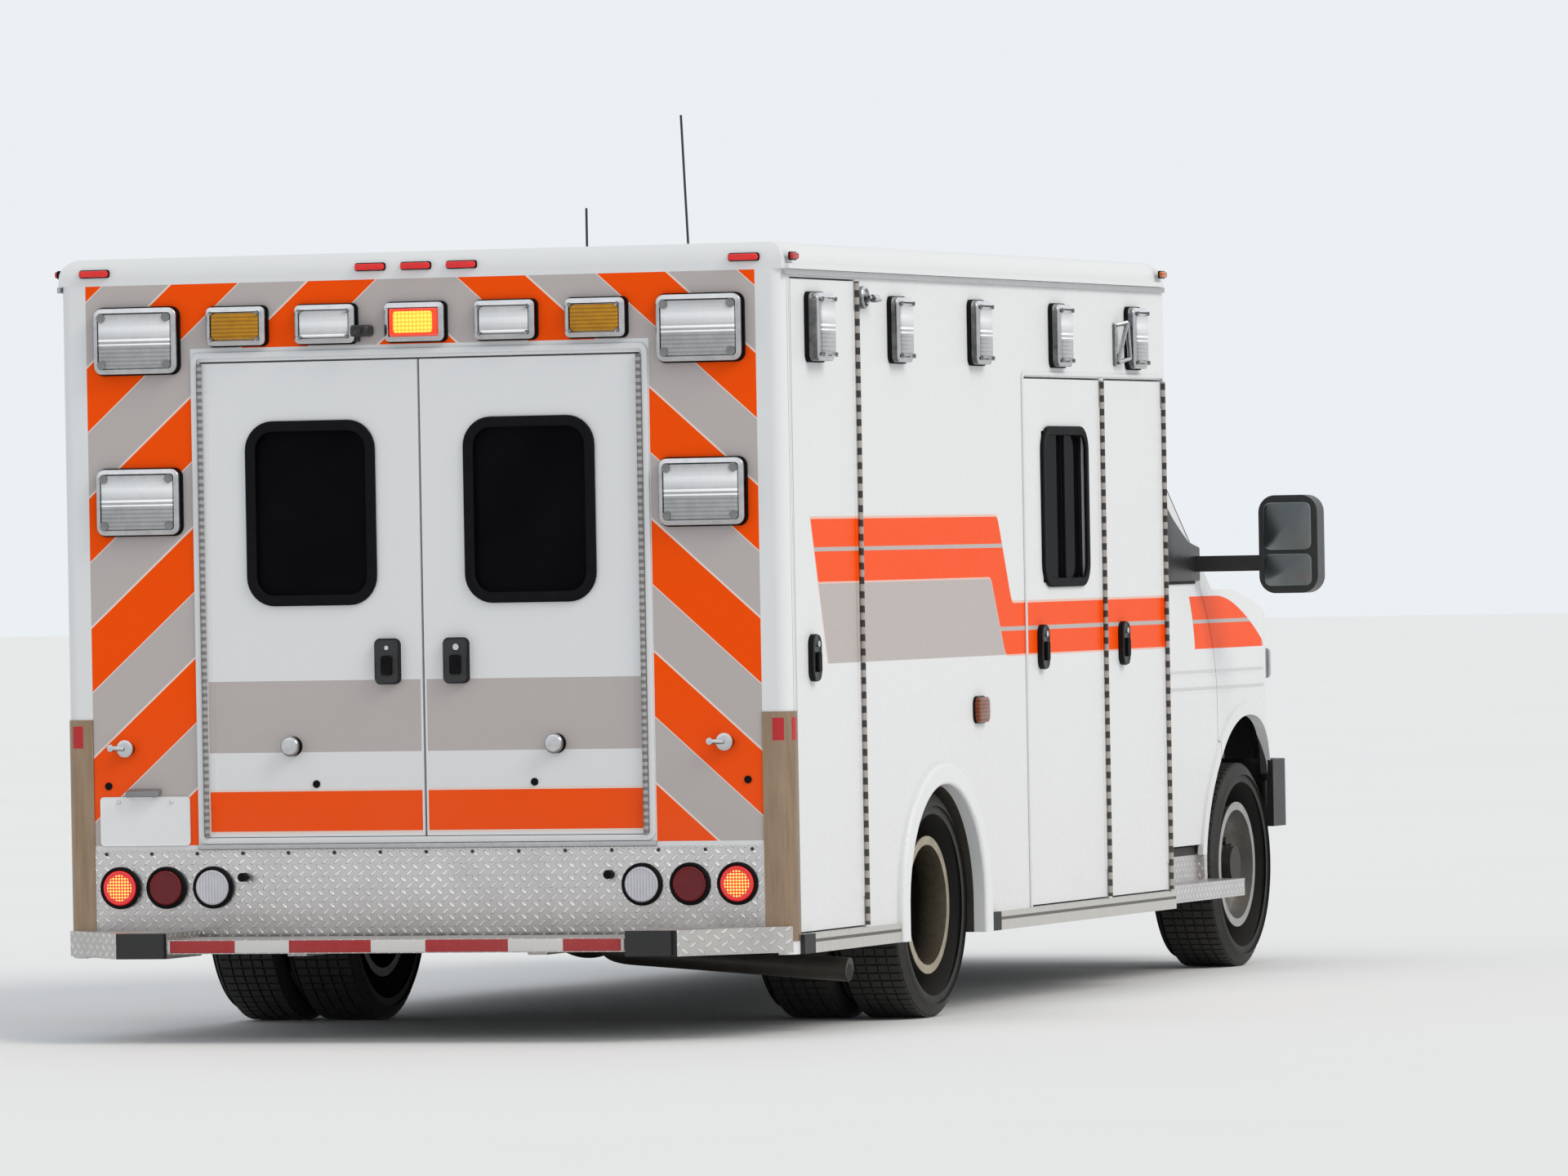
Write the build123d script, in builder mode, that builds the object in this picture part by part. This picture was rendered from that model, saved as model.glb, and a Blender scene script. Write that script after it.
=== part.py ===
# Ambulance: a box body on a long cutaway van chassis, in millimetres.
# +X is forward, +Y is left and +Z is up. The origin is on the ground, midway along the whole length.
import os

from build123d import *

# Chassis layout
box_length = 3940
wheelbase = box_length + 100
rear_overhang = 1455  # rear axle to the rear face of the box
bumper_reach = 310  # rear bumper behind that face
front_overhang = 785  # front axle to the front bumper
overall_length = bumper_reach + rear_overhang + wheelbase + front_overhang
rear_face = bumper_reach - overall_length / 2
rear_axle = rear_face + rear_overhang
front_axle = rear_axle + wheelbase
nose = front_axle + front_overhang

# Wheels, with the tyres as high as they stand under load
tyre_radius = 360
tyre_width = 223
bead_radius = 205
rim_width = 176
rim_wall = 12
flange_height = 16
flange_width = 6
disc_thickness = 14
twin_spacing = 263  # between the middles of twin tyres
front_track = 1747
rear_outer_tyre = 1068  # middle of the outer rear tyre from the centreline
rear_inner_tyre = rear_outer_tyre - twin_spacing
twin_face = rear_outer_tyre - twin_spacing / 2  # where the two rear discs meet
front_wheel_y = front_track / 2
disc_y = front_wheel_y + 22  # outer face of the front disc
lug_circle = 82.5
lug_count = 8
lug_radius = 14
lug_length = 30
hand_holes = 4
hand_hole_circle = 132
hand_hole_radius = 26
hub_radius = 64
hub_depth = 40
hub_reach = 60
rear_hub_reach = 110
spindle_radius = 30
rear_spindle_radius = 42
running_gap = 0.3  # radial gap at spindles and pins

# Frame
rail_outer = 432  # outer web from the centreline
rail_height = 130
rail_flange = 64
rail_metal = 8
floor_top = 630
floor_thickness = 80
rail_top = floor_top - floor_thickness
rail_bottom = rail_top - rail_height

# Box body
box_width = 2413
skirt = 258  # underside of the side walls
gutter = 2375  # top of the walls
roof_top = 2460
wall = 50
corner_radius = 40
gap = 6  # open joint round every door
rebate = 14  # the inner frame stands this far into a doorway
rebate_depth = 20
seal_gap = 0.3  # door to the frame that it closes on
box_front = rear_face + box_length
side = box_width / 2
inside = side - wall
front_wall = 25
kick_bottom = 300

# Rear doors
rear_door_edge = side - 477  # hinge edge from the centreline
rear_door_bottom = 636
rear_door_top = 2122
centre_gap = 8
rear_window_y = (165, 565)
rear_window_z = (1377, 1919)
window_radius = 75
glass = 6

# Side doors: edges ahead of the rear face, then heights
door_bottom = skirt + 67
side_doors = {
    "rear_locker": ((75, 684), (door_bottom, 2345)),
    "side_entry": ((box_length - 1560, box_length - 734), (door_bottom, 2053)),
    "front_locker": ((box_length - 678, box_length - 45), (door_bottom, 2053)),
}
doorways = {
    1: ("rear_locker", "front_locker"),
    -1: ("rear_locker", "side_entry", "front_locker"),
}
locker_depth = 370
liner = 22
step_depth = 280
entry_window_x = (box_length - 1372, box_length - 907)
entry_window_z = (1382, 1882)
hinge_radius = 8
hinge_out = hinge_radius + 1  # hinge axis outside the skin
hinge_leaf = 30
leaf_thickness = 2
knuckle = 90

# Rear wheel arch
arch_radius = 385
arch_liner = 12
flare_width = 70
flare_reach = 25
well_inner = 655
flare_round = 12

# Cab
cab_half = 1006

cab_bottom = 410
belt = 1336
cab_skin = 25
cab_door_thickness = 55
top_frame = 45  # thickness of the pillars and of the door's window frame
door_front = front_axle - 345  # seam between door and fender
door_rear = box_front + 125
cab_door_bottom = 446
cab_door_top = 1925
cab_roof_bottom = 1931
cab_roof_top = 2035
cab_arch_radius = 475
cab_arch_height = 415
cab_flare = 45
cab_flare_reach = 12
hood_half = cab_half - 306
hood_rear = front_axle + 60
hood_gap = 6
cowl_panel = (1260, 1285)  # below the rear edge of the hood
hood_pivot = (hood_rear - 25, cowl_panel[1] + 15)
hood_pin_radius = 5
hood_lug_radius = 10
hood_lug_y = (hood_half - 100, hood_half - 60)
hood_front_low = 1064
fender_bottom = 720
cab_nose = front_axle + 735  # grille and fender fronts
screen_base = front_axle + 20
screen_top = front_axle - 620
roof_half = cab_half - 144
belt_half = cab_half - 56
screen_half = cab_half - 226  # half of the windshield; the door frames lie outside it
step_out = cab_half + 94
step_top = 322
step_thickness = 60
kingpin = 800
kingpin_radius = 14
boss_radius = 32
boss_half = 45


def across(y):
    # sketches in X and Z that extrude towards -Y
    return Plane(origin=(0, y, 0), x_dir=(1, 0, 0), z_dir=(0, -1, 0))


def along(x):
    # sketches in Y and Z that extrude towards +X
    return Plane(origin=(x, 0, 0), x_dir=(0, 1, 0), z_dir=(1, 0, 0))


def block(x, y, z, mode=Mode.ADD):
    # box between three pairs of limits, added to the part that is open
    low = [min(pair) for pair in (x, y, z)]
    size = [max(pair) - min(pair) for pair in (x, y, z)]
    with Locations(Vector(*low) + Vector(*size) / 2):
        Box(*size, mode=mode)


def bar(start, end, radius, mode=Mode.ADD):
    # round bar between two points
    a, b = Vector(*start), Vector(*end)
    with Locations(Plane(origin=(a + b) / 2, z_dir=b - a)):
        Cylinder(radius, (b - a).length, mode=mode)


def outline(points):
    Polygon(*points, align=None)


pieces = {}
sides = {"left": 1, "right": -1}


# Frame rails, channels that open inwards
with BuildPart() as frame_rails:
    for s in (1, -1):
        with BuildSketch(along(rear_face + 90)):
            outline([
                (s * rail_outer, rail_bottom),
                (s * rail_outer, rail_top),
                (s * (rail_outer - rail_flange), rail_top),
                (s * (rail_outer - rail_flange), rail_top - rail_metal),
                (s * (rail_outer - rail_metal), rail_top - rail_metal),
                (s * (rail_outer - rail_metal), rail_bottom + rail_metal),
                (s * (rail_outer - rail_flange), rail_bottom + rail_metal),
                (s * (rail_outer - rail_flange), rail_bottom),
            ])
        extrude(amount=nose - 120 - rear_face - 90)
pieces["frame_rails"] = frame_rails

# Crossmembers between the webs: place, and width along the vehicle
member_gap = rail_outer - rail_metal
member_bottom = rail_top - rail_metal - 60
members = (
    (rear_face + 130, 60),
    (rear_axle - 650, 60),
    (rear_axle + 630, 80),
    (rear_axle + 1630, 80),
    (front_axle - 1410, 80),
    (front_axle - 460, 80),
    (nose - 190, 60),
)
with BuildPart() as crossmembers:
    for x, width in members:
        block(
            (x - width / 2, x + width / 2),
            (-member_gap, member_gap),
            (member_bottom, rail_top - rail_metal),
        )
pieces["crossmembers"] = crossmembers


def tyre(x, y):
    # one tyre round the axle line at x, its middle at y
    half = tyre_width / 2
    bead = rim_width / 2 - flange_width - 6
    with BuildSketch(along(x)) as section:
        with BuildLine(Location((y, tyre_radius))):
            Line((-half * 0.8, tyre_radius), (half * 0.8, tyre_radius))
            ThreePointArc(
                (half * 0.8, tyre_radius), (half * 0.93, tyre_radius - 6), (half * 0.96, tyre_radius - 20)
            )
            ThreePointArc(
                (half * 0.96, tyre_radius - 20), (half, tyre_radius - 80),
                (bead, bead_radius + flange_height + 1)
            )
            Polyline(
                (bead, bead_radius + flange_height + 1),
                (bead, bead_radius),
                (-bead, bead_radius),
                (-bead, bead_radius + flange_height + 1),
            )
            ThreePointArc(
                (-bead, bead_radius + flange_height + 1),
                (-half, tyre_radius - 80), (-half * 0.96, tyre_radius - 20)
            )
            ThreePointArc(
                (-half * 0.96, tyre_radius - 20),
                (-half * 0.93, tyre_radius - 6), (-half * 0.8, tyre_radius)
            )
        make_face()
    revolve(section.sketch, axis=Axis((x, 0, tyre_radius), (0, 1, 0)))


def ring(x, y0, y1, outer, inner, mode=Mode.ADD):
    # round ring or disc on an axle line
    with BuildSketch(across(max(y0, y1))) as face:
        with Locations((x, tyre_radius)):
            Circle(outer)
            if inner:
                Circle(inner, mode=Mode.SUBTRACT)
    extrude(face.sketch, amount=abs(y1 - y0), mode=mode)


def barrel(x, y):
    # rim barrel with its two flanges, its middle at y
    half = rim_width / 2
    ring(x, y - half + flange_width, y + half - flange_width, bead_radius, bead_radius - rim_wall)
    for s in (1, -1):
        ring(
            x, y + s * half, y + s * (half - flange_width),
            bead_radius + flange_height, bead_radius - rim_wall
        )


def studs(x, y0, y1, circle, count, radius, mode=Mode.ADD):
    # round bosses or holes in a circle about an axle line
    with Locations(Plane(origin=(x, (y0 + y1) / 2, tyre_radius), z_dir=(0, 1, 0))):
        with PolarLocations(circle, count):
            Cylinder(radius, abs(y1 - y0), mode=mode)


for name, s in sides.items():
    with BuildPart() as front_tyre:
        tyre(front_axle, s * front_wheel_y)
    pieces[f"front_tyre_{name}"] = front_tyre

    with BuildPart() as rear_tyres:
        for y in (rear_outer_tyre, rear_inner_tyre):
            tyre(rear_axle, s * y)
    pieces[f"rear_tyres_{name}"] = rear_tyres

    with BuildPart() as front_rim:
        barrel(front_axle, s * front_wheel_y)
        ring(front_axle, s * (disc_y - disc_thickness), s * disc_y, bead_radius - rim_wall / 2, 0)
        ring(front_axle, s * (disc_y - hub_depth), s * (disc_y + hub_reach), hub_radius, 0)
        studs(front_axle, s * disc_y, s * (disc_y + lug_length), lug_circle, lug_count, lug_radius)
        holes = (hand_hole_circle, hand_holes, hand_hole_radius, Mode.SUBTRACT)
        studs(front_axle, s * (disc_y - 20), s * (disc_y + 5), *holes)
        bore = spindle_radius + running_gap
        ring(front_axle, s * (disc_y - hub_depth), s * (disc_y + hub_reach - 15), bore, 0, Mode.SUBTRACT)
    pieces[f"front_rim_{name}"] = front_rim

    with BuildPart() as rear_rims:
        barrel(rear_axle, s * rear_outer_tyre)
        barrel(rear_axle, s * rear_inner_tyre)
        dish = bead_radius - rim_wall / 2
        for y in (rear_outer_tyre - rim_width / 2 + 15, rear_inner_tyre + rim_width / 2 - 15):
            ring(rear_axle, s * twin_face, s * y, dish, dish - rim_wall)
        ring(rear_axle, s * (twin_face - disc_thickness), s * (twin_face + disc_thickness), dish, 0)
        ring(rear_axle, s * (twin_face - hub_depth), s * (twin_face + rear_hub_reach), hub_radius, 0)
        studs(
            rear_axle, s * twin_face, s * (twin_face + disc_thickness + lug_length),
            lug_circle, lug_count, lug_radius
        )
        studs(rear_axle, s * (twin_face - 20), s * (twin_face + 20), *holes)
        bore = rear_spindle_radius + running_gap
        ring(
            rear_axle, s * (twin_face - hub_depth),
            s * (twin_face + rear_hub_reach - 15), bore, 0, Mode.SUBTRACT
        )
    pieces[f"rear_rims_{name}"] = rear_rims

    # Steering knuckle: a fork round the axle's boss, the pin through it and the wheel's spindle
    with BuildPart() as knuckle_fork:
        for z in (tyre_radius + boss_half + 0.5, tyre_radius - boss_half - 0.5 - 22):
            with BuildSketch(Plane.XY.offset(z)):
                with Locations((front_axle, s * kingpin)):
                    Circle(boss_radius)
                with Locations((front_axle, s * (kingpin + 26))):
                    Rectangle(2 * boss_radius, 52)
            extrude(amount=22)
        block(
            (front_axle - boss_radius, front_axle + boss_radius),
            (s * (kingpin + 40), s * (kingpin + 52)),
            (tyre_radius - boss_half - 22.5, tyre_radius + boss_half + 22.5),
        )
        bar(
            (front_axle, s * kingpin, tyre_radius - boss_half - 22),
            (front_axle, s * kingpin, tyre_radius + boss_half + 22),
            kingpin_radius,
        )
        bar(
            (front_axle, s * (kingpin + 45), tyre_radius),
            (front_axle, s * (disc_y + hub_reach - 20), tyre_radius),
            spindle_radius,
        )
    pieces[f"knuckle_{name}"] = knuckle_fork

# Front axle: a dropped beam with a boss at each end, and the coil springs that carry the rails
spring_y = 500
with BuildPart() as front_axle_beam:
    block(
        (front_axle - 30, front_axle + 30), (-(kingpin - 90), kingpin - 90),
        (tyre_radius - 70, tyre_radius - 10)
    )
    for s in (1, -1):
        block(
            (front_axle - 25, front_axle + 25), (s * (kingpin - 130), s * kingpin),
            (tyre_radius - 40, tyre_radius + 40)
        )
        bar(
            (front_axle, s * kingpin, tyre_radius - boss_half),
            (front_axle, s * kingpin, tyre_radius + boss_half),
            boss_radius,
        )
        bar(
            (front_axle, s * kingpin, tyre_radius - boss_half),
            (front_axle, s * kingpin, tyre_radius + boss_half),
            kingpin_radius + running_gap,
            Mode.SUBTRACT,
        )
        bar((front_axle, s * spring_y, tyre_radius - 20), (front_axle, s * spring_y, rail_top + 60), 52)
        block(
            (front_axle - 60, front_axle + 60),
            (s * rail_outer, s * (spring_y + 60)),
            (rail_top + 40, rail_top + 70),
        )
        block(
            (front_axle - 60, front_axle + 60),
            (s * rail_outer, s * (rail_outer + 12)), (rail_bottom, rail_top + 60)
        )
pieces["front_axle"] = front_axle_beam

# Rear axle: tube, differential and a leaf pack each side, hung from the rails
leaf_y = 530
leaf_width = 76
leaf_reach = 680
leaf_rise = 40
axle_tube = 50
differential_radius = 165
with BuildPart() as rear_axle_unit:
    tube_end = twin_face - hub_depth - 5
    bar((rear_axle, -tube_end, tyre_radius), (rear_axle, tube_end, tyre_radius), axle_tube)
    for s in (1, -1):
        spindle_end = twin_face + rear_hub_reach - 20
        bar(
            (rear_axle, s * tube_end, tyre_radius),
            (rear_axle, s * spindle_end, tyre_radius), rear_spindle_radius
        )
    with Locations(Plane(origin=(rear_axle, 0, tyre_radius), z_dir=(0, 1, 0))):
        Sphere(differential_radius)
    block(
        (rear_axle - 200, rear_axle + 200), (-200, 200),
        (tyre_radius + 60, tyre_radius + 200), Mode.SUBTRACT
    )
    for s in (1, -1):
        with BuildSketch(across(s * leaf_y + leaf_width / 2)):
            with BuildLine():
                low = tyre_radius + axle_tube - 10
                ThreePointArc(
                    (rear_axle - leaf_reach, low + leaf_rise), (rear_axle, low),
                    (rear_axle + leaf_reach, low + leaf_rise)
                )
                Line(
                    (rear_axle + leaf_reach, low + leaf_rise),
                    (rear_axle + leaf_reach, low + leaf_rise + 14)
                )
                Line((rear_axle + leaf_reach, low + leaf_rise + 14), (rear_axle + 120, low + 50))
                Line((rear_axle + 120, low + 50), (rear_axle - 120, low + 50))
                Line((rear_axle - 120, low + 50), (rear_axle - leaf_reach, low + leaf_rise + 14))
                Line(
                    (rear_axle - leaf_reach, low + leaf_rise + 14),
                    (rear_axle - leaf_reach, low + leaf_rise)
                )
            make_face()
        extrude(amount=leaf_width)
        for x in (rear_axle - leaf_reach, rear_axle + leaf_reach):
            bar(
                (x, s * rail_outer, low + leaf_rise + 10),
                (x, s * (leaf_y + leaf_width / 2), low + leaf_rise + 10), 26
            )
pieces["rear_axle"] = rear_axle_unit

# Engine and gearbox as plain masses, with the propeller shaft back to the differential
engine_x = (front_axle - 320, front_axle + 390)
gearbox_x = (engine_x[0] - 690, engine_x[0])
gearbox_z = (340, 475)
shaft_radius = 40
with BuildPart() as driveline:
    block(engine_x, (-280, 280), (460, 1080))
    block(gearbox_x, (-130, 130), gearbox_z)
    block((engine_x[0], engine_x[0] + 60), (-130, 130), (gearbox_z[0], 470))
    bar((gearbox_x[0], 0, sum(gearbox_z) / 2), (rear_axle + 120, 0, tyre_radius + 15), shaft_radius)
    with Locations((rear_axle, 0, tyre_radius)):
        Sphere(differential_radius, mode=Mode.SUBTRACT)
pieces["driveline"] = driveline

# Fuel tank between the rails behind the axle
with BuildPart() as fuel_tank:
    block((rear_face + 175, rear_face + 480), (-350, 350), (300, rail_top))
    fillet(fuel_tank.edges().filter_by(Axis.Y), 30)
pieces["fuel_tank"] = fuel_tank

# Exhaust, over the axle and out to the right behind the rear wheels
pipe_radius = 38
exhaust_y = -230
exhaust_z = 330
over_axle_z = 480
tail_x = rear_face + 545
with BuildPart() as exhaust:
    with BuildLine() as route:
        FilletPolyline(
            (front_axle - 1610, exhaust_y, exhaust_z),
            (rear_axle + 580, exhaust_y, exhaust_z),
            (rear_axle + 330, exhaust_y, over_axle_z),
            (rear_axle - 300, exhaust_y, over_axle_z),
            (rear_axle - 550, exhaust_y, exhaust_z),
            (tail_x, -420, 250),
            (tail_x, 6.5 - side, 190),
            radius=110,
        )
    with BuildSketch(Plane(origin=route.line @ 0, z_dir=route.line % 0)):
        Circle(pipe_radius)
    sweep()
    bar((rear_axle + 1630, exhaust_y, exhaust_z), (rear_axle + 2230, exhaust_y, exhaust_z), 90)
    hangers = (
        (members[3][0] + 20, exhaust_y),
        (members[2][0], exhaust_y),
        (members[1][0], exhaust_y - 53),
    )
    for x, y in hangers:
        bar((x, y, exhaust_z - 20), (x, y, member_bottom), 8)
pieces["exhaust"] = exhaust


def doorway(name):
    (x0, x1), (z0, z1) = side_doors[name]
    return (rear_face + x0 - gap, rear_face + x1 + gap), (z0 - gap, z1 + gap)


def grown(pair, amount):
    return (pair[0] - amount, pair[1] + amount)


def arch_outline(radius, bottom, mode=Mode.ADD):
    # half circle over the wheel with straight sides down to the bottom
    with BuildSketch(mode=Mode.PRIVATE) as form:
        with Locations((rear_axle, tyre_radius)):
            Circle(radius)
        with Locations((rear_axle, tyre_radius - radius)):
            Rectangle(2 * radius, 2 * radius)
        with Locations((rear_axle, bottom - 2 * radius)):
            Rectangle(4 * radius, 4 * radius, mode=Mode.SUBTRACT)
    add(form.sketch, mode=mode)


def add_hinge(x, y, z0, z1, nx, ny, leaf_x, leaf_y, fixed):
    # knuckles on a vertical axis, with a leaf flat on the skin
    # nx, ny: from the axis to the skin; leaf_x, leaf_y: along the skin away from the axis
    ends = [(z0, z0 + knuckle), (z1 - knuckle, z1)] if fixed else [(z0 + knuckle + 0.4, z1 - knuckle - 0.4)]
    for low, high in ends:
        bar((x, y, low), (x, y, high), hinge_radius)
        skin = (x + nx * hinge_out, y + ny * hinge_out)
        outer = (x + nx * (hinge_out - leaf_thickness), y + ny * (hinge_out - leaf_thickness))
        block(
            (skin[0], outer[0] + leaf_x * hinge_leaf) if leaf_x else (skin[0], outer[0]),
            (skin[1], outer[1] + leaf_y * hinge_leaf) if leaf_y else (skin[1], outer[1]),
            (low, high),
        )


# Floor of the box, notched for the lockers, the entry step and the wheel wells
with BuildPart() as box_floor:
    block((rear_face + wall, box_front - front_wall), (-inside, inside), (rail_top, floor_top))
    block(
        (rear_face + wall, rear_face + wall + rebate_depth),
        (-inside, inside), (0, floor_top + 10), Mode.SUBTRACT
    )
    for s, names in doorways.items():
        for name in names:
            x, z = doorway(name)
            depth = step_depth if name == "side_entry" else locker_depth
            block(grown(x, rebate), (s * (inside - rebate_depth - depth), s * side), z, Mode.SUBTRACT)
        x = (rear_axle - arch_radius - arch_liner, rear_axle + arch_radius + arch_liner)
        block(x, (s * well_inner, s * side), (rail_top - 10, floor_top + 10), Mode.SUBTRACT)
pieces["box_floor"] = box_floor

# Side walls with their doorways, the frames behind the doors and the wheel arch
for name, s in sides.items():
    with BuildPart() as side_wall:
        block((rear_face, box_front), (s * inside, s * side), (skirt, gutter))
        fillet(
            side_wall.edges().filter_by(Axis.Z).group_by(Axis.Y)[-1 if s > 0 else 0].group_by(Axis.X)[0],
            corner_radius
        )
        for opening in doorways[s]:
            x, z = doorway(opening)
            block(grown(x, rebate), (s * (inside - rebate_depth), s * inside), grown(z, rebate))
        for opening in doorways[s]:
            x, z = doorway(opening)
            block(x, (s * inside, s * (side + 1)), z, Mode.SUBTRACT)
            block(
                grown(x, -rebate), (s * (inside - rebate_depth), s * side),
                grown(z, -rebate), Mode.SUBTRACT
            )
            add_hinge(x[1] - gap / 2, s * (side + hinge_out), z[0] + gap, z[1] - gap, 0, -s, 1, 0, True)
        with BuildSketch(across(max(s * inside, s * side))):
            arch_outline(arch_radius + arch_liner, skirt)
        extrude(amount=wall, mode=Mode.SUBTRACT)
    pieces[f"{name}_wall"] = side_wall

# Wheel wells with the flare round each arch
well_plate_bottom = 440
with BuildPart() as wheel_arches:
    for s in (1, -1):
        for radius, y0, y1 in (
            (arch_radius + arch_liner, well_inner, side),
            (arch_radius + flare_width, side, side + flare_reach),
        ):
            with BuildSketch(across(max(s * y0, s * y1))):
                arch_outline(radius, skirt)
                arch_outline(arch_radius, skirt, Mode.SUBTRACT)
            extrude(amount=y1 - y0)
        outer_face = wheel_arches.faces().filter_by(Axis.Y).sort_by(Axis.Y)[-1 if s > 0 else 0]
        fillet(outer_face.edges().filter_by(GeomType.CIRCLE), flare_round)
        with BuildSketch(across(max(s * well_inner, s * (well_inner + 5)))):
            arch_outline(arch_radius + arch_liner, well_plate_bottom)
        extrude(amount=5)
pieces["wheel_arches"] = wheel_arches

# Front bulkhead and roof
with BuildPart() as front_bulkhead:
    block((box_front - front_wall, box_front), (-inside, inside), (rail_top, gutter))
pieces["front_wall"] = front_bulkhead

with BuildPart() as box_roof:
    block((rear_face, box_front), (-side, side), (gutter, roof_top))
    fillet(box_roof.faces().sort_by(Axis.Z)[-1].edges(), 60)
    for s in (1, -1):
        block((rear_face + 30, box_front - 30), (s * side, s * (side + 14)), (gutter, gutter + 16))
pieces["box_roof"] = box_roof

# Rear wall with its doorway and the frame that the doors close on
rear_opening_y = rear_door_edge + gap
rear_opening_z = (rear_door_bottom - gap, rear_door_top + gap)
plate_y = 943  # number plate, fixed by its upper pair of screws
plate_screws = 178
plate_screw_z = 749
plate_screw_radius = 3.5
with BuildPart() as rear_wall:
    block((rear_face, rear_face + wall), (-inside, inside), (kick_bottom, gutter))
    block(
        (rear_face + wall, rear_face + wall + rebate_depth),
        (-rear_opening_y - rebate, rear_opening_y + rebate),
        grown(rear_opening_z, rebate),
    )
    block(
        (rear_face - 1, rear_face + wall),
        (-rear_opening_y, rear_opening_y), rear_opening_z, Mode.SUBTRACT
    )
    block(
        (rear_face, rear_face + wall + rebate_depth),
        (rebate - rear_opening_y, rear_opening_y - rebate),
        grown(rear_opening_z, -rebate),
        Mode.SUBTRACT,
    )
    for s in (1, -1):
        add_hinge(
            rear_face - hinge_out, s * (rear_door_edge + gap / 2),
            rear_door_bottom, rear_door_top, 1, 0, 0, s, True
        )
    for y in (plate_y - plate_screws / 2, plate_y + plate_screws / 2):
        bar(
            (rear_face - 1, y, plate_screw_z), (rear_face + 30, y, plate_screw_z),
            plate_screw_radius, Mode.SUBTRACT
        )
pieces["rear_wall"] = rear_wall

# Locker liners and the entry step, open to the outside
with BuildPart() as compartments:
    for s, names in doorways.items():
        for name in names:
            x, z = doorway(name)
            outer_y = s * (inside - rebate_depth)
            if name == "side_entry":
                block(
                    grown(x, rebate), (outer_y, outer_y - s * step_depth),
                    (z[0] + rebate - liner, floor_top)
                )
                inner_y = outer_y - s * (step_depth - liner)
                block(grown(x, -rebate), (outer_y, inner_y), (z[0] + rebate, floor_top + 1), Mode.SUBTRACT)
            else:
                block(
                    grown(x, liner - rebate), (outer_y, outer_y - s * locker_depth),
                    grown(z, liner - rebate)
                )
                inner_y = outer_y - s * (locker_depth - liner)
                block(grown(x, -rebate), (outer_y, inner_y), grown(z, -rebate), Mode.SUBTRACT)
pieces["compartments"] = compartments


def raised(skin, middle, width, height, corner, reach, taper=0):
    # rounded pad that stands off a skin: its middle in the plane of that skin
    with BuildSketch(skin) as face:
        with Locations(middle):
            RectangleRounded(width, height, corner)
    extrude(face.sketch, amount=reach, taper=taper)


def side_skin(s):
    # outer face of a side wall, X to the front and Y up
    return Plane(origin=(0, s * side, 0), x_dir=(1, 0, 0), z_dir=(0, s, 0))


def up_from(plane, z):
    # the same height in a plane whose Y may point down
    return z * plane.y_dir.Z


rear_skin = Plane(origin=(rear_face, 0, 0), x_dir=(0, 1, 0), z_dir=(-1, 0, 0))
handle_reach = 18
side_handle = (73, 148, 34)  # width, height and corner
rear_handle = (84, 144, 20)


# Rear doors
for name, s in sides.items():
    with BuildPart() as rear_door:
        block(
            (rear_face, rear_face + wall - seal_gap),
            (s * centre_gap / 2, s * rear_door_edge),
            (rear_door_bottom, rear_door_top),
        )
        with BuildSketch(along(rear_face - 1)):
            with Locations((s * sum(rear_window_y) / 2, sum(rear_window_z) / 2)):
                RectangleRounded(
                    rear_window_y[1] - rear_window_y[0], rear_window_z[1] - rear_window_z[0], window_radius
                )
        extrude(amount=wall + 2, mode=Mode.SUBTRACT)
        raised(rear_skin, (s * 114.5, up_from(rear_skin, 1181)), *rear_handle, handle_reach)
        add_hinge(
            rear_face - hinge_out, s * (rear_door_edge + gap / 2),
            rear_door_bottom, rear_door_top, 1, 0, 0, -s, False
        )
    pieces[f"rear_door_{name}"] = rear_door
    with BuildPart() as rear_glass:
        with BuildSketch(along(rear_face + 12)):
            with Locations((s * sum(rear_window_y) / 2, sum(rear_window_z) / 2)):
                RectangleRounded(
                    rear_window_y[1] - rear_window_y[0], rear_window_z[1] - rear_window_z[0], window_radius
                )
        extrude(amount=glass)
    pieces[f"rear_glass_{name}"] = rear_glass

# Side doors, hinged at their front edges
flasher = (165, 214, 26)  # width, height and corner
flasher_reach = 45
flasher_taper = 9
flasher_middle_z = 2197
flasher_middles = (286.5, 1085.5, 1890.5, box_length - 1194.5, box_length - 362.5)
handle_z = 1170.5
for s, names in doorways.items():
    skin = side_skin(s)
    for name in names:
        (x0, x1), z = side_doors[name]
        x = (rear_face + x0, rear_face + x1)
        with BuildPart() as side_door:
            block(x, (s * (inside + seal_gap), s * side), z)
            if name == "side_entry":
                window_x = (rear_face + entry_window_x[0], rear_face + entry_window_x[1])
                block(window_x, (s * inside, s * (side + 1)), entry_window_z, Mode.SUBTRACT)
            if name == "rear_locker":
                middle = (rear_face + flasher_middles[0], up_from(skin, flasher_middle_z))
                raised(skin, middle, *flasher, flasher_reach, flasher_taper)
            raised(skin, (x[0] + 139, up_from(skin, handle_z)), *side_handle, handle_reach)
            add_hinge(x[1] + gap / 2, s * (side + hinge_out), z[0], z[1], 0, -s, -1, 0, False)
        label = name if name == "side_entry" else f"{name}_{'left' if s > 0 else 'right'}"
        pieces[f"{label}_door"] = side_door
        if name == "side_entry":
            with BuildPart() as entry_glass:
                block(window_x, (s * (side - 18), s * (side - 18 + glass)), entry_window_z)
            pieces["side_entry_glass"] = entry_glass

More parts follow.
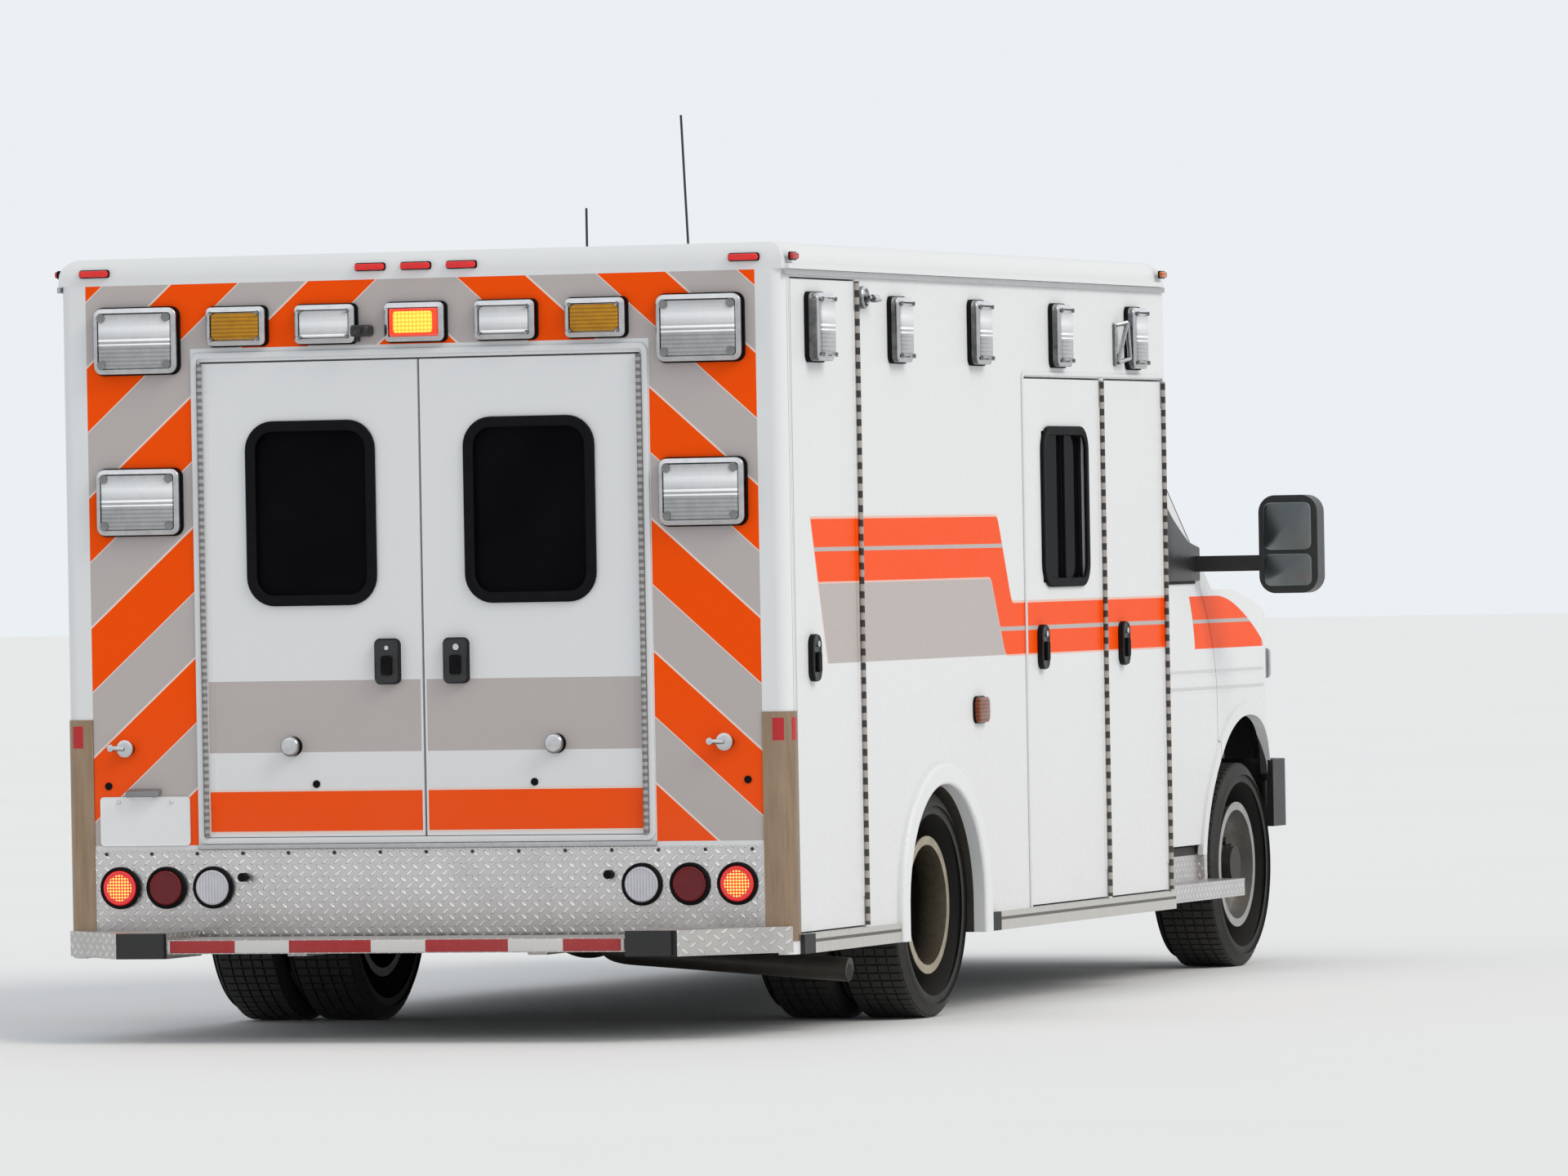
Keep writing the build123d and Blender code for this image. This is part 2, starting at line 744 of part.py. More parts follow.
# Lamps on the box: warning lamps, markers and tail lamps
large_lamp_y = side - 266.5
rear_lamps = (  # middle y, middle z, width, height, corner
    (large_lamp_y, 2198.5, 288, 215, 30),
    (large_lamp_y, 1692, 288, 216, 30),
    (599.5, 2237.5, 205, 129, 16),
    (300, 2237.5, 208, 129, 16),
)
rear_lamp_reach = 40
tail_lamp_y = (side - 490.5, side - 332.5, side - 176.5)
tail_lamp_z = 479.5
tail_lamp_radius = 66.5
with BuildPart() as lamps:
    for s in (1, -1):
        skin = side_skin(s)
        for middle in flasher_middles[1:]:
            raised(
                skin, (rear_face + middle, up_from(skin, flasher_middle_z)),
                *flasher, flasher_reach, flasher_taper
            )
        for y, z, width, height, corner in rear_lamps:
            raised(
                rear_skin, (s * y, up_from(rear_skin, z)), width,
                height, corner, rear_lamp_reach, flasher_taper
            )
        for y in tail_lamp_y:
            bar((rear_face - 22, s * y, tail_lamp_z), (rear_face, s * y, tail_lamp_z), tail_lamp_radius)
    raised(rear_skin, (0, up_from(rear_skin, 2237.5)), 206, 129, 16, rear_lamp_reach, flasher_taper)
pieces["lamps"] = lamps

# Rear bumper: angled ends, the step between them and the arms that carry it
end_y = side - 0.5
step_half = side - 445.5
pad_y = (step_half + 4, step_half + 154)
with BuildPart() as rear_bumper:
    for s in (1, -1):
        with BuildSketch(Plane.XY.offset(266)):
            outline([
                (rear_face - 4, s * end_y),
                (rear_face - 295, s * (step_half + 169)),
                (rear_face - 295, s * step_half),
                (rear_face - 4, s * step_half),
            ])
        extrude(amount=80)
        block((rear_face - 310, rear_face - 295), (s * pad_y[0], s * pad_y[1]), (269, 345))
        arm = (s * (rail_outer - rail_flange), s * rail_outer)
        block((rear_face - 100, rear_face + 200), arm, (266, kick_bottom - 5))
        block((rear_face + 95, rear_face + 200), arm, (266, rail_bottom))
    block((rear_face - 290, rear_face - 20), (-step_half, step_half), (281, 325))
pieces["rear_bumper"] = rear_bumper

# Metal guards round the rear corners and along the skirts
guard_top = 1009
guard_thickness = 4
flare_radius = arch_radius + flare_width
rub_rails = ((62, rear_overhang - flare_radius - 5), (rear_overhang + flare_radius + 5, box_length - 10))
with BuildPart() as body_guards:
    for s in (1, -1):
        with BuildSketch(Plane.XY.offset(kick_bottom)):
            for out, mode in ((guard_thickness, Mode.ADD), (0, Mode.SUBTRACT)):
                radius = corner_radius + out
                middle = (rear_face + corner_radius, s * (side - corner_radius))
                with Locations(middle):
                    Circle(radius, mode=mode)
                with Locations((middle[0] - radius / 2, middle[1] - s * 25)):
                    Rectangle(radius, 50, mode=mode)
                with Locations((middle[0] + 10, middle[1] + s * radius / 2)):
                    Rectangle(20, radius, mode=mode)
            with Locations((middle[0] + 50, middle[1] - s * 50)):
                Rectangle(100, 100, mode=Mode.SUBTRACT)
            with Locations((middle[0] + 70, middle[1])):
                Rectangle(100, 200, mode=Mode.SUBTRACT)
        extrude(amount=guard_top - kick_bottom)
        for start, end in rub_rails:
            block((rear_face + start, rear_face + end), (s * side, s * (side + 15)), (skirt, skirt + 60))
pieces["body_guards"] = body_guards

# Antennas on the roof: place, whip length, sideways lean
with BuildPart() as antennas:
    for x, y, length, lean in ((rear_face + 2000, 166, 180, 0), (rear_face + 2600, 25, 500, 20)):
        bar((x, y, roof_top), (x, y, roof_top + 20), 22)
        bar((x, y, roof_top + 15), (x, y + lean, roof_top + length), 4)
pieces["antennas"] = antennas


# Cab body: the common volume of a side view, a plan and a front view
def cab_block(inset, open_top=False):
    # an inset block is open below and behind, and above too for the doors and pillars
    cut = 1 if inset else 0
    bottom = cab_bottom - cut
    rear = box_front - cut
    low = fender_bottom - cut
    drop = 0 if open_top else inset
    half = cab_half - inset
    front = cab_nose - inset
    hood_end = (cab_nose - 95 - inset / 2, 1128 - drop)
    with BuildPart() as form:
        with BuildSketch(across(cab_half + 50)):
            with BuildLine():
                Line((rear, bottom), (rear, belt - drop))
                Line((rear, belt - drop), (screen_base, belt - drop))
                ThreePointArc((screen_base, belt - drop), (front_axle + 350, 1258 - drop), hood_end)
                ThreePointArc(hood_end, (cab_nose - 23 - inset * 0.8, 1068 - drop * 0.7), (front, 965))
                Line((front, 965), (front, low))
                Line((front, low), (front_axle + 475, low))
                Line((front_axle + 475, low), (front_axle, bottom))
                Line((front_axle, bottom), (rear, bottom))
            make_face()
        extrude(amount=2 * (cab_half + 50))
        corner = (cab_nose - 55 - inset, half - 161 + inset / 2)
        with BuildSketch(Plane.XY):
            with BuildLine():
                Line((rear, -half), (rear, half))
                for s in (1, -1):
                    Line((rear, s * half), (front_axle + 90, s * half))
                    middle = (front_axle + 450, s * (half - 62))
                    ThreePointArc((front_axle + 90, s * half), middle, (corner[0], s * corner[1]))
                    ThreePointArc(
                        (corner[0], s * corner[1]),
                        (cab_nose - 17 - inset, s * (half - 246 + inset / 2)),
                        (front, s * (cab_half - 366)),
                    )
                ThreePointArc((front, cab_half - 366), (front + 17, 0), (front, 366 - cab_half))
            make_face()
        extrude(amount=2000, mode=Mode.INTERSECT)
        with BuildSketch(along(rear)):
            with BuildLine():
                for s in (1, -1):
                    Line((0, bottom), (s * (half - 21), bottom))
                    Line((s * (half - 21), bottom), (s * half, 750))
                    Line((s * half, 750), (s * half, 950))
                    ThreePointArc((s * half, 950), (s * (half - 15), 1150), (s * (belt_half - inset), belt))
                    Line((s * (belt_half - inset), belt), (s * (belt_half - inset), belt + 20))
                    Line((s * (belt_half - inset), belt + 20), (0, belt + 20))
            make_face()
        extrude(amount=3000, mode=Mode.INTERSECT)
    return form.part


# Upper cab at the belt and at the roof: height, front, half width, then how far
# the side ends behind the front, and how far back and in the bowed screen ends
belt_level = (belt, screen_base, belt_half, 230, 110, 90)
roof_level = (cab_roof_bottom, screen_top, roof_half, 150, 80, 60)


def upper_plan(level, inset):
    # straight sides, narrow corner faces and a bowed windshield between them
    z, front, half, side_back, bow_back, bow_in = level
    side_end = (front - side_back - inset / 3, half - inset)
    bow_end = (front - bow_back - inset * 0.9, half - bow_in - inset * 0.6)
    with BuildSketch(Plane.XY.offset(z)) as plan:
        with BuildLine():
            Line((box_front, -side_end[1]), (box_front, side_end[1]))
            for s in (1, -1):
                Line((box_front, s * side_end[1]), (side_end[0], s * side_end[1]))
                Line((side_end[0], s * side_end[1]), (bow_end[0], s * bow_end[1]))
            ThreePointArc(bow_end, (front - inset, 0), (bow_end[0], -bow_end[1]))
        make_face()
    return plan.sketch


def greenhouse(inset):
    # the cab above the belt
    with BuildPart() as form:
        loft([upper_plan(belt_level, inset).face(), upper_plan(roof_level, inset).face()], ruled=True)
    return form.part


def shell(outer, inner):
    with BuildPart() as skin:
        add(outer)
        add(inner, mode=Mode.SUBTRACT)
    return skin.part


cab_outer = cab_block(0)
cab_inner = cab_block(cab_skin)
top_outer = greenhouse(0)
door_outline = [
    (door_rear, cab_door_bottom),
    (door_front - gap, cab_door_bottom),
    (door_front - gap, 1462),
    (door_front - 430, cab_door_top),
    (door_rear, cab_door_top),
]
window_outline = [
    (door_rear + 90, 1375),
    (door_front - 80, 1375),
    (door_front - 80, 1430),
    (door_front - 465, 1865),
    (door_rear + 90, 1865),
]
cab_shell = shell(cab_outer, cab_inner)
door_shell = shell(cab_outer, cab_block(cab_door_thickness - seal_gap, True))
door_top_shell = shell(top_outer, greenhouse(top_frame - seal_gap))
jamb_inner = cab_block(cab_door_thickness + rebate_depth, True)
post_shell = shell(cab_outer, jamb_inner)
jamb_shell = shell(cab_block(cab_door_thickness, True), jamb_inner)
top_jamb_shell = shell(greenhouse(top_frame), greenhouse(top_frame + rebate_depth))
lip_shell = shell(cab_block(-cab_flare_reach), cab_block(8))
cab_depth = cab_half + 50  # beyond the widest point of the cab


def cut_cab_arch(radius):
    with Locations(Plane(origin=(front_axle, 0, cab_arch_height), z_dir=(0, 1, 0))):
        Cylinder(radius, 2 * cab_depth, mode=Mode.SUBTRACT)


def prism(points, y0, y1, mode, grow=0):
    # XZ outline, grown or shrunk, extruded between two widths
    with BuildSketch(across(max(y0, y1))) as region:
        outline(points)
        if grow:
            offset(amount=grow, kind=Kind.INTERSECTION)
    extrude(region.sketch, amount=abs(y1 - y0), mode=mode)


def arch_lip(s, x0, x1):
    # raised lip round the front wheel arch, between two stations
    with BuildPart() as lip:
        add(lip_shell)
        with BuildSketch(across(max(s * screen_half, s * cab_depth))):
            with Locations((front_axle, cab_arch_height)):
                Circle(cab_arch_radius + cab_flare)
                Circle(cab_arch_radius, mode=Mode.SUBTRACT)
            with Locations((front_axle, cab_bottom - 500)):
                Rectangle(2000, 1000, mode=Mode.SUBTRACT)
            with Locations((front_axle + 500, fender_bottom - 500)):
                Rectangle(1000, 1000, mode=Mode.SUBTRACT)
            with Locations(((x0 + x1) / 2, 1000)):
                Rectangle(x1 - x0, 1200, mode=Mode.INTERSECT)
        extrude(amount=cab_depth - screen_half, mode=Mode.INTERSECT)
    return lip.part


# Cab doors, their glass and the mirrors that they carry
mirror_x = door_front - 100
mirror_depth = 85
mirror_size = (214, 343, 60)  # width, height and corner
mirror_middle_z = 1492
mirror_arm_z = (1400, 1455)
for name, s in sides.items():
    with BuildPart() as cab_door:
        add(door_shell)
        add(door_top_shell)
        prism(door_outline, s * screen_half, s * cab_depth, Mode.INTERSECT)
        prism(window_outline, s * screen_half, s * cab_depth, Mode.SUBTRACT)
        cut_cab_arch(cab_arch_radius)
        add(arch_lip(s, door_front - 400, door_front - gap))
    pieces[f"cab_door_{name}"] = cab_door

    with BuildPart() as cab_glass:
        add(shell(greenhouse(12), greenhouse(12 + glass)))
        prism(window_outline, s * screen_half, s * cab_depth, Mode.INTERSECT)
    pieces[f"cab_glass_{name}"] = cab_glass

    with BuildPart() as mirror:
        with BuildSketch(along(mirror_x)):
            with Locations((s * (cab_half + 299), mirror_middle_z)):
                RectangleRounded(*mirror_size)
        extrude(amount=mirror_depth)
        block((mirror_x + 20, mirror_x + 65), (s * (belt_half - 50), s * (cab_half + 224)), mirror_arm_z)
        add(top_outer, mode=Mode.SUBTRACT)
    pieces[f"mirror_{name}"] = mirror

# Pillars, with the frame that each cab door closes on
screen_opening = (
    (screen_top - 200, screen_base + 50),
    (-screen_half, screen_half),
    (belt + 30, cab_roof_bottom),
)
jambs = []
for s in (1, -1):
    with BuildPart() as jamb:
        add(jamb_shell)
        add(top_jamb_shell)
        prism(door_outline, s * screen_half, s * cab_depth, Mode.INTERSECT, gap)
        prism(door_outline, s * screen_half, s * cab_depth, Mode.SUBTRACT, -rebate)
        cut_cab_arch(cab_arch_radius + cab_flare)
    jambs.append(jamb.part)
with BuildPart() as hinge_posts:
    add(shell(cab_inner, jamb_inner))
    block((door_front, door_front + 20), (-cab_depth, cab_depth), (cab_bottom, belt), Mode.INTERSECT)
    cut_cab_arch(cab_arch_radius)
with BuildPart() as cab_pillars:
    add(shell(top_outer, greenhouse(top_frame + rebate_depth)))
    block(screen_opening[0], screen_opening[1], (belt + 30, cab_roof_top), Mode.SUBTRACT)
    add(post_shell)
    block((box_front, door_front), (-screen_half, screen_half), (0, cab_roof_top), Mode.SUBTRACT)
    block((door_front, nose), (-cab_depth, cab_depth), (0, belt), Mode.SUBTRACT)
    block((box_front - 10, door_front), (-cab_depth, cab_depth), (0, cab_door_bottom - gap), Mode.SUBTRACT)
    for s in (1, -1):
        prism(door_outline, s * screen_half, s * cab_depth, Mode.SUBTRACT, gap)
    for part in (*jambs, hinge_posts.part):
        add(part)
pieces["cab_pillars"] = cab_pillars

with BuildPart() as windshield:
    add(shell(greenhouse(12), greenhouse(12 + glass)))
    block(*screen_opening, Mode.INTERSECT)
pieces["windshield"] = windshield

with BuildPart() as cab_roof:
    with BuildSketch(across(roof_half)):
        outline([
            (box_front, cab_roof_bottom),
            (screen_top, cab_roof_bottom),
            (screen_top - 60, cab_roof_bottom + 50),
            (screen_top - 300, cab_roof_top),
            (box_front, cab_roof_top),
        ])
    extrude(amount=2 * roof_half)
    extrude(upper_plan(roof_level, 0), amount=cab_roof_top - cab_roof_bottom, mode=Mode.INTERSECT)
    fillet(cab_roof.faces().sort_by(Axis.Z)[-1].edges().filter_by(Axis.X), 60)
pieces["cab_roof"] = cab_roof

# Fenders with the arch lip, the grille panel, the hood and the headlamps
lamp_x = front_axle + 550
lamp_y = (hood_half + 20, cab_depth)
lamp_z = (1000, 1125)
with BuildPart() as front_fenders:
    add(cab_shell)
    block((door_front, nose), (-cab_depth, cab_depth), (cab_bottom, belt), Mode.INTERSECT)
    block((door_front - 1, nose), (-hood_half - hood_gap, hood_half + hood_gap), (0, 2000), Mode.SUBTRACT)
    cut_cab_arch(cab_arch_radius)
    for s in (1, -1):
        add(arch_lip(s, door_front, door_front + 1000))
        block((lamp_x, nose), (s * lamp_y[0], s * lamp_y[1]), lamp_z, Mode.SUBTRACT)
pieces["front_fenders"] = front_fenders

with BuildPart() as headlamps:
    add(shell(cab_outer, cab_block(70)))
    block((lamp_x, nose), (-cab_depth, cab_depth), lamp_z, Mode.INTERSECT)
    block((0, nose), (-lamp_y[0], lamp_y[0]), (0, 2000), Mode.SUBTRACT)
pieces["headlamps"] = headlamps

with BuildPart() as hood:
    add(cab_shell)
    block((hood_rear, nose), (-hood_half, hood_half), (hood_front_low, belt + 10), Mode.INTERSECT)
    x, z = hood_pivot
    for s in (1, -1):
        lug = (s * hood_lug_y[0], s * hood_lug_y[1])
        bar((x, lug[0], z), (x, lug[1], z), hood_lug_radius)
        block((x, hood_rear + 20), lug, (z - 4, z + 8))
        bar((x, lug[0], z), (x, lug[1], z), hood_pin_radius + running_gap, Mode.SUBTRACT)
pieces["hood"] = hood

grille_y = hood_half - 230
grille_z = (800, 1020)
slat_pitch = 48
with BuildPart() as grille:
    add(cab_shell)
    middle_z = (fender_bottom, hood_front_low - hood_gap)
    block((cab_nose - 95, nose), (-hood_half, hood_half), middle_z, Mode.INTERSECT)
    block((cab_nose - 145, nose), (-grille_y, grille_y), grille_z, Mode.SUBTRACT)
    for z in range(grille_z[0] + 38, grille_z[1], slat_pitch):
        block((cab_nose - 30, cab_nose), (-grille_y, grille_y), (z, z + 14))
    for y in (-grille_y / 2, 0, grille_y / 2):
        block((cab_nose - 30, cab_nose - 5), (y - 7, y + 7), grille_z)
pieces["grille"] = grille

# Front bumper, a bowed channel with wrapped ends on two arms
bumper_z = (480, 720)
bumper_end = cab_half - 56
bumper_metal = 25
with BuildPart() as front_bumper:
    with BuildSketch(Plane.XY.offset(bumper_z[0])):
        with BuildLine():
            ThreePointArc((nose - 25, bumper_end - 110), (nose, 0), (nose - 25, 110 - bumper_end))
            Line((nose - 70, bumper_end - 130), (nose - 70, 130 - bumper_end))
            for s in (1, -1):
                end = s * bumper_end
                inner = s * (bumper_end - bumper_metal)
                Line((nose - 285, inner), (nose - 285, end))
                Line((nose - 285, end), (nose - 165, end))
                ThreePointArc((nose - 165, end), (nose - 65, end - s * 35), (nose - 25, end - s * 110))
                Line((nose - 285, inner), (nose - 175, inner))
                ThreePointArc((nose - 175, inner), (nose - 95, inner - s * 45), (nose - 70, end - s * 130))
        make_face()
    extrude(amount=bumper_z[1] - bumper_z[0])
    for s in (1, -1):
        arm = (s * (rail_outer - rail_flange), s * rail_outer)
        block((nose - 120, nose - 65), arm, (bumper_z[0] + 10, rail_top))
pieces["front_bumper"] = front_bumper

# Cab floor, sills, toe board, firewall and cowl
sill_half = cab_half - 121
cab_floor_metal = 50
firewall = (door_front - 30, door_front - 5)
with BuildPart() as cab_tub:
    with BuildSketch(across(cab_half)):
        outline([
            (box_front, rail_top),
            (firewall[0] - 95, rail_top),
            (firewall[1], 790),
            (firewall[1], cowl_panel[0]),
            (firewall[0], cowl_panel[0]),
            (firewall[0], 800),
            (firewall[0] - 105, rail_top + cab_floor_metal),
            (box_front, rail_top + cab_floor_metal),
        ])
    extrude(amount=2 * cab_half)
    add(jamb_inner, mode=Mode.INTERSECT)
    for s in (1, -1):
        sill = (box_front, firewall[0] - 135)
        block(sill, (s * (sill_half - 40), s * sill_half), (cab_bottom, rail_top))
        block(sill, (s * (sill_half - 40), s * (sill_half + 82)), (cab_bottom, cab_door_bottom - gap))
    cut_cab_arch(cab_arch_radius)
    block((firewall[0] - 15, hood_rear - 10), (-hood_half, hood_half), cowl_panel)
    riser = (screen_base - 190, screen_base - 190 + top_frame / 2)
    block(riser, (-hood_half, hood_half), (cowl_panel[1], belt))
    x, z = hood_pivot
    for s in (1, -1):
        block(
            (x - hood_lug_radius, x + hood_lug_radius),
            (s * (hood_lug_y[1] + 2), s * (hood_lug_y[1] + 10)),
            (cowl_panel[1], z + hood_lug_radius),
        )
        bar((x, s * (hood_lug_y[0] - 2), z), (x, s * (hood_lug_y[1] + 5), z), hood_pin_radius)
pieces["cab_tub"] = cab_tub

# Dashboard with the steering wheel, and two seats
dash_x = (firewall[0] - 175, firewall[0])
driver_y = 400
steering_hub = (dash_x[0] - 170, driver_y, 1130)
with BuildPart() as dashboard:
    block(dash_x, (2 - roof_half, roof_half - 2), (950, 1260))
    fillet(dashboard.edges().filter_by(Axis.Y).group_by(Axis.X)[0], 50)
    with Locations(Plane(origin=steering_hub, z_dir=(-0.85, 0, 0.53))):
        Torus(185, 15)
        Box(370, 40, 14)
    bar(steering_hub, (dash_x[0] + 40, driver_y, 1000), 30)
pieces["dashboard"] = dashboard

seat_back = box_front + 85
seat_front = seat_back + 620
seat_width = 500
with BuildPart() as cab_seats:
    for y in (driver_y, -driver_y):
        with BuildSketch(across(y + seat_width / 2)):
            outline([
                (seat_back + 90, rail_top + cab_floor_metal),
                (seat_front - 20, rail_top + cab_floor_metal),
                (seat_front, 900),
                (seat_back + 250, 900),
                (seat_back + 110, 1560),
                (seat_back, 1540),
                (seat_back + 80, 880),
            ])
        extrude(amount=seat_width)
pieces["cab_seats"] = cab_seats

# Cab steps with their splash plates and the guards behind the front wheels
guard_radius = 435
step_inner = 900
step_end = front_axle - 365
step_low = step_top - step_thickness
with BuildPart() as cab_steps:
    for s in (1, -1):
        with BuildSketch(Plane.XY.offset(step_low)):
            outline([
                (box_front, s * step_inner),
                (box_front, s * step_out),
                (step_end, s * step_out),
                (step_end - 40, s * step_inner),
            ])
        extrude(amount=step_thickness)
        block((box_front, step_end - 85), (s * 960, s * 965), (step_top, cab_bottom))
        for x in (box_front + 245, box_front + 895):
            block((x, x + 40), (s * rail_outer, s * step_inner), (step_low, step_top))
            block((x, x + 40), (s * rail_outer, s * (rail_outer + 60)), (step_top, rail_top - 10))
        with BuildSketch(across(max(s * 640, s * 985))):
            with Locations((front_axle, cab_arch_height)):
                Circle(cab_arch_radius - 3)
            with Locations((front_axle, tyre_radius)):
                Circle(guard_radius, mode=Mode.SUBTRACT)
            with Locations((front_axle - 380, (step_top + 680) / 2)):
                Rectangle(300, 680 - step_top, mode=Mode.INTERSECT)
        extrude(amount=345)
pieces["cab_steps"] = cab_steps

for name, piece in pieces.items():
    print(name, len(piece.part.solids()), round(piece.part.volume / 1e6, 2))
os.makedirs("parts", exist_ok=True)
for name, piece in pieces.items():
    piece.part.label = name
    export_step(piece.part, f"parts/{name}.step")
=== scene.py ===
import math

import bmesh
import bpy
from mathutils import Matrix, Vector


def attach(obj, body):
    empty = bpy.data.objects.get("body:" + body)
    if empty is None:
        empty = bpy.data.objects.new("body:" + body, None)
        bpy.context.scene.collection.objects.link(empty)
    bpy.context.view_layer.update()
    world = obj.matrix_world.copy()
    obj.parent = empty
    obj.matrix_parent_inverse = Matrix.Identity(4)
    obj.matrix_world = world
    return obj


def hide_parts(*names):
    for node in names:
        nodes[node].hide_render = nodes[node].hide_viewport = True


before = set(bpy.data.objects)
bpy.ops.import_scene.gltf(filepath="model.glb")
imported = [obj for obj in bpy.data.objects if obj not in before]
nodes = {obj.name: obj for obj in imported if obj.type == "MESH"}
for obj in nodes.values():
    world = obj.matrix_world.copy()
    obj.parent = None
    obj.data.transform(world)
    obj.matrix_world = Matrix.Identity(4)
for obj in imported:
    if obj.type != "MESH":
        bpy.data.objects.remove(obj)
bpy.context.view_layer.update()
sides = ((-1, "right"), (1, "left"))
skin = {"side": 1.2065, "rear": -2.985}  # the box's outer faces
wheels = {"front": 2.51, "rear": -1.53, "radius": 0.360}
tailLamp = {"z": 0.4795, "radius": 0.0665, "count": 56, "lit": 1.030, "dots": 0.0098}
print("frame loaded")


# modelling helpers, all on Blender's own operators
def objectMode():
    bpy.ops.object.mode_set(mode="OBJECT")


def deselectAll():
    if bpy.context.object and bpy.context.object.mode != "OBJECT":
        objectMode()
    bpy.ops.object.select_all(action="DESELECT")


def only(*chosen):
    deselectAll()
    for piece in chosen:
        piece.select_set(True)
    bpy.context.view_layer.objects.active = chosen[-1]


def settle(piece):
    only(piece)
    bpy.ops.object.transform_apply(location=True, rotation=True, scale=True)
    return piece


def blockAt(low, high):
    deselectAll()
    bpy.ops.mesh.primitive_cube_add(size=1, location=[(a + b) / 2 for a, b in zip(low, high)])
    piece = bpy.context.object
    piece.scale = [abs(b - a) for a, b in zip(low, high)]
    return settle(piece)


def cylinder(centre, turn, radius, length, count):
    deselectAll()
    bpy.ops.mesh.primitive_cylinder_add(
        vertices=count, radius=radius, depth=length, location=centre, rotation=turn
    )
    return settle(bpy.context.object)


def drumAt(centre, axis, radius, length, count):
    turns = {"x": (0, math.pi / 2, 0), "y": (math.pi / 2, 0, 0), "z": (0, 0, 0)}
    return cylinder(centre, turns[axis], radius, length, count)


def rodBetween(start, end, radius, count=16):
    start, end = Vector(start), Vector(end)
    run = end - start
    turn = run.to_track_quat("Z", "Y").to_euler()
    return cylinder((start + end) / 2, turn, radius, run.length, count)


def edit(piece, mode="FACE", action="DESELECT"):
    only(piece)
    bpy.ops.object.mode_set(mode="EDIT")
    bpy.ops.mesh.select_mode(type=mode)
    bpy.ops.mesh.select_all(action=action)
    return bmesh.from_edit_mesh(piece.data)


def chooseFaces(piece, test):
    mesh = edit(piece)
    for face in mesh.faces:
        face.select_set(bool(test(face.calc_center_median(), face.normal)))
    bmesh.update_edit_mesh(piece.data)


def chooseEdges(piece, test):
    mesh = edit(piece, "EDGE")
    for edge in mesh.edges:
        a, b = edge.verts
        edge.select_set(bool(test((a.co + b.co) / 2, (b.co - a.co).normalized())))
    bmesh.update_edit_mesh(piece.data)


def rounded(piece, axis, corner, segments):
    # bevels the edges that run along one axis
    index = "xyz".index(axis)
    chooseEdges(piece, lambda middle, run: abs(run[index]) > 0.99)
    bpy.ops.mesh.bevel(offset=corner, offset_type="OFFSET", segments=segments, affect="EDGES")
    objectMode()


def stepped(piece, steps, axis="y", sign=-1):
    # rings in the face that looks along one axis, each with its width and its rise
    index = "xyz".index(axis)
    for width, rise in steps:
        chooseFaces(piece, lambda middle, normal: normal[index] * sign > 0.9)
        bpy.ops.mesh.inset(thickness=width, depth=rise)
        objectMode()


def soften(piece, width, segments=2):
    bevel = piece.modifiers.new("soft edges", "BEVEL")
    bevel.width = width
    bevel.segments = segments
    bevel.limit_method = "ANGLE"
    bevel.angle_limit = math.radians(35)
    only(piece)
    bpy.ops.object.modifier_apply(modifier=bevel.name)
    return piece


def formed(piece, corner=0.0, segments=6, steps=(), soft=0.0, fine=2, axis="y", sign=-1):
    # rounds a block along one axis, steps its face there and softens its edges
    if corner:
        rounded(piece, axis, corner, segments)
    stepped(piece, steps, axis, sign)
    return soften(piece, soft, fine) if soft else piece


def slab(width, height, back, front, *form, **details):
    # a formed block round the origin that faces -Y, between two depths
    half, tall = width / 2, height / 2
    return formed(blockAt((-half, -front, -tall), (half, -back, tall)), *form, **details)


def disc(radius, front, count, steps=(), soft=0.0, fine=2, back=0.0):
    # a formed drum round the origin that faces -Y, between two depths
    drum = drumAt((0, -(front + back) / 2, 0), "y", radius, front - back, count)
    return formed(drum, steps=steps, soft=soft, fine=fine)


def ringFrame(width, height, rim, corner, reach, segments, soft=0.0025, fine=2):
    ring = slab(width, height, 0.0, reach, corner, segments)
    chooseFaces(ring, lambda middle, normal: abs(normal.y) > 0.9)
    bpy.ops.mesh.inset(thickness=rim, depth=0)
    bpy.ops.mesh.bridge_edge_loops()
    objectMode()
    return soften(ring, soft, fine)


def joined(chosen):
    only(*chosen)
    if len(chosen) > 1:
        bpy.ops.object.join()
    return bpy.context.view_layer.objects.active


def shifted(piece, move, turn=0.0):
    # turns about the upright axis through the origin, then moves
    piece.rotation_euler = (0, 0, turn)
    piece.location = move
    return settle(piece)


def dress(piece, look):
    piece.data.materials.clear()
    piece.data.materials.append(bpy.data.materials[look])


def place(piece, name, look, body="chassis", smooth=35):
    piece.name = name
    piece.data.name = name
    edit(piece, action="SELECT")
    bpy.ops.mesh.remove_doubles(threshold=0.00002)
    bpy.ops.mesh.normals_make_consistent(inside=False)
    objectMode()
    only(piece)
    bpy.ops.object.shade_smooth_by_angle(angle=math.radians(smooth))
    dress(piece, look)
    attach(piece, body)
    return piece


def fitted(piece, name, look, face, along, up, body="chassis", plane=None):
    # takes a piece made facing -Y to its place on a face of the box, or on a given plane
    if face == "rear":
        middle = (plane or skin["rear"], along, up)
    else:
        middle = (along, (plane or skin["side"]) * (1 if face == "left" else -1), up)
    shifted(piece, middle, {"right": 0.0, "rear": -math.pi / 2, "left": math.pi}[face])
    return place(piece, name, look, body)


# shader helpers
def calculation(operation):
    return lambda value, *others: value.calc(operation, *others)


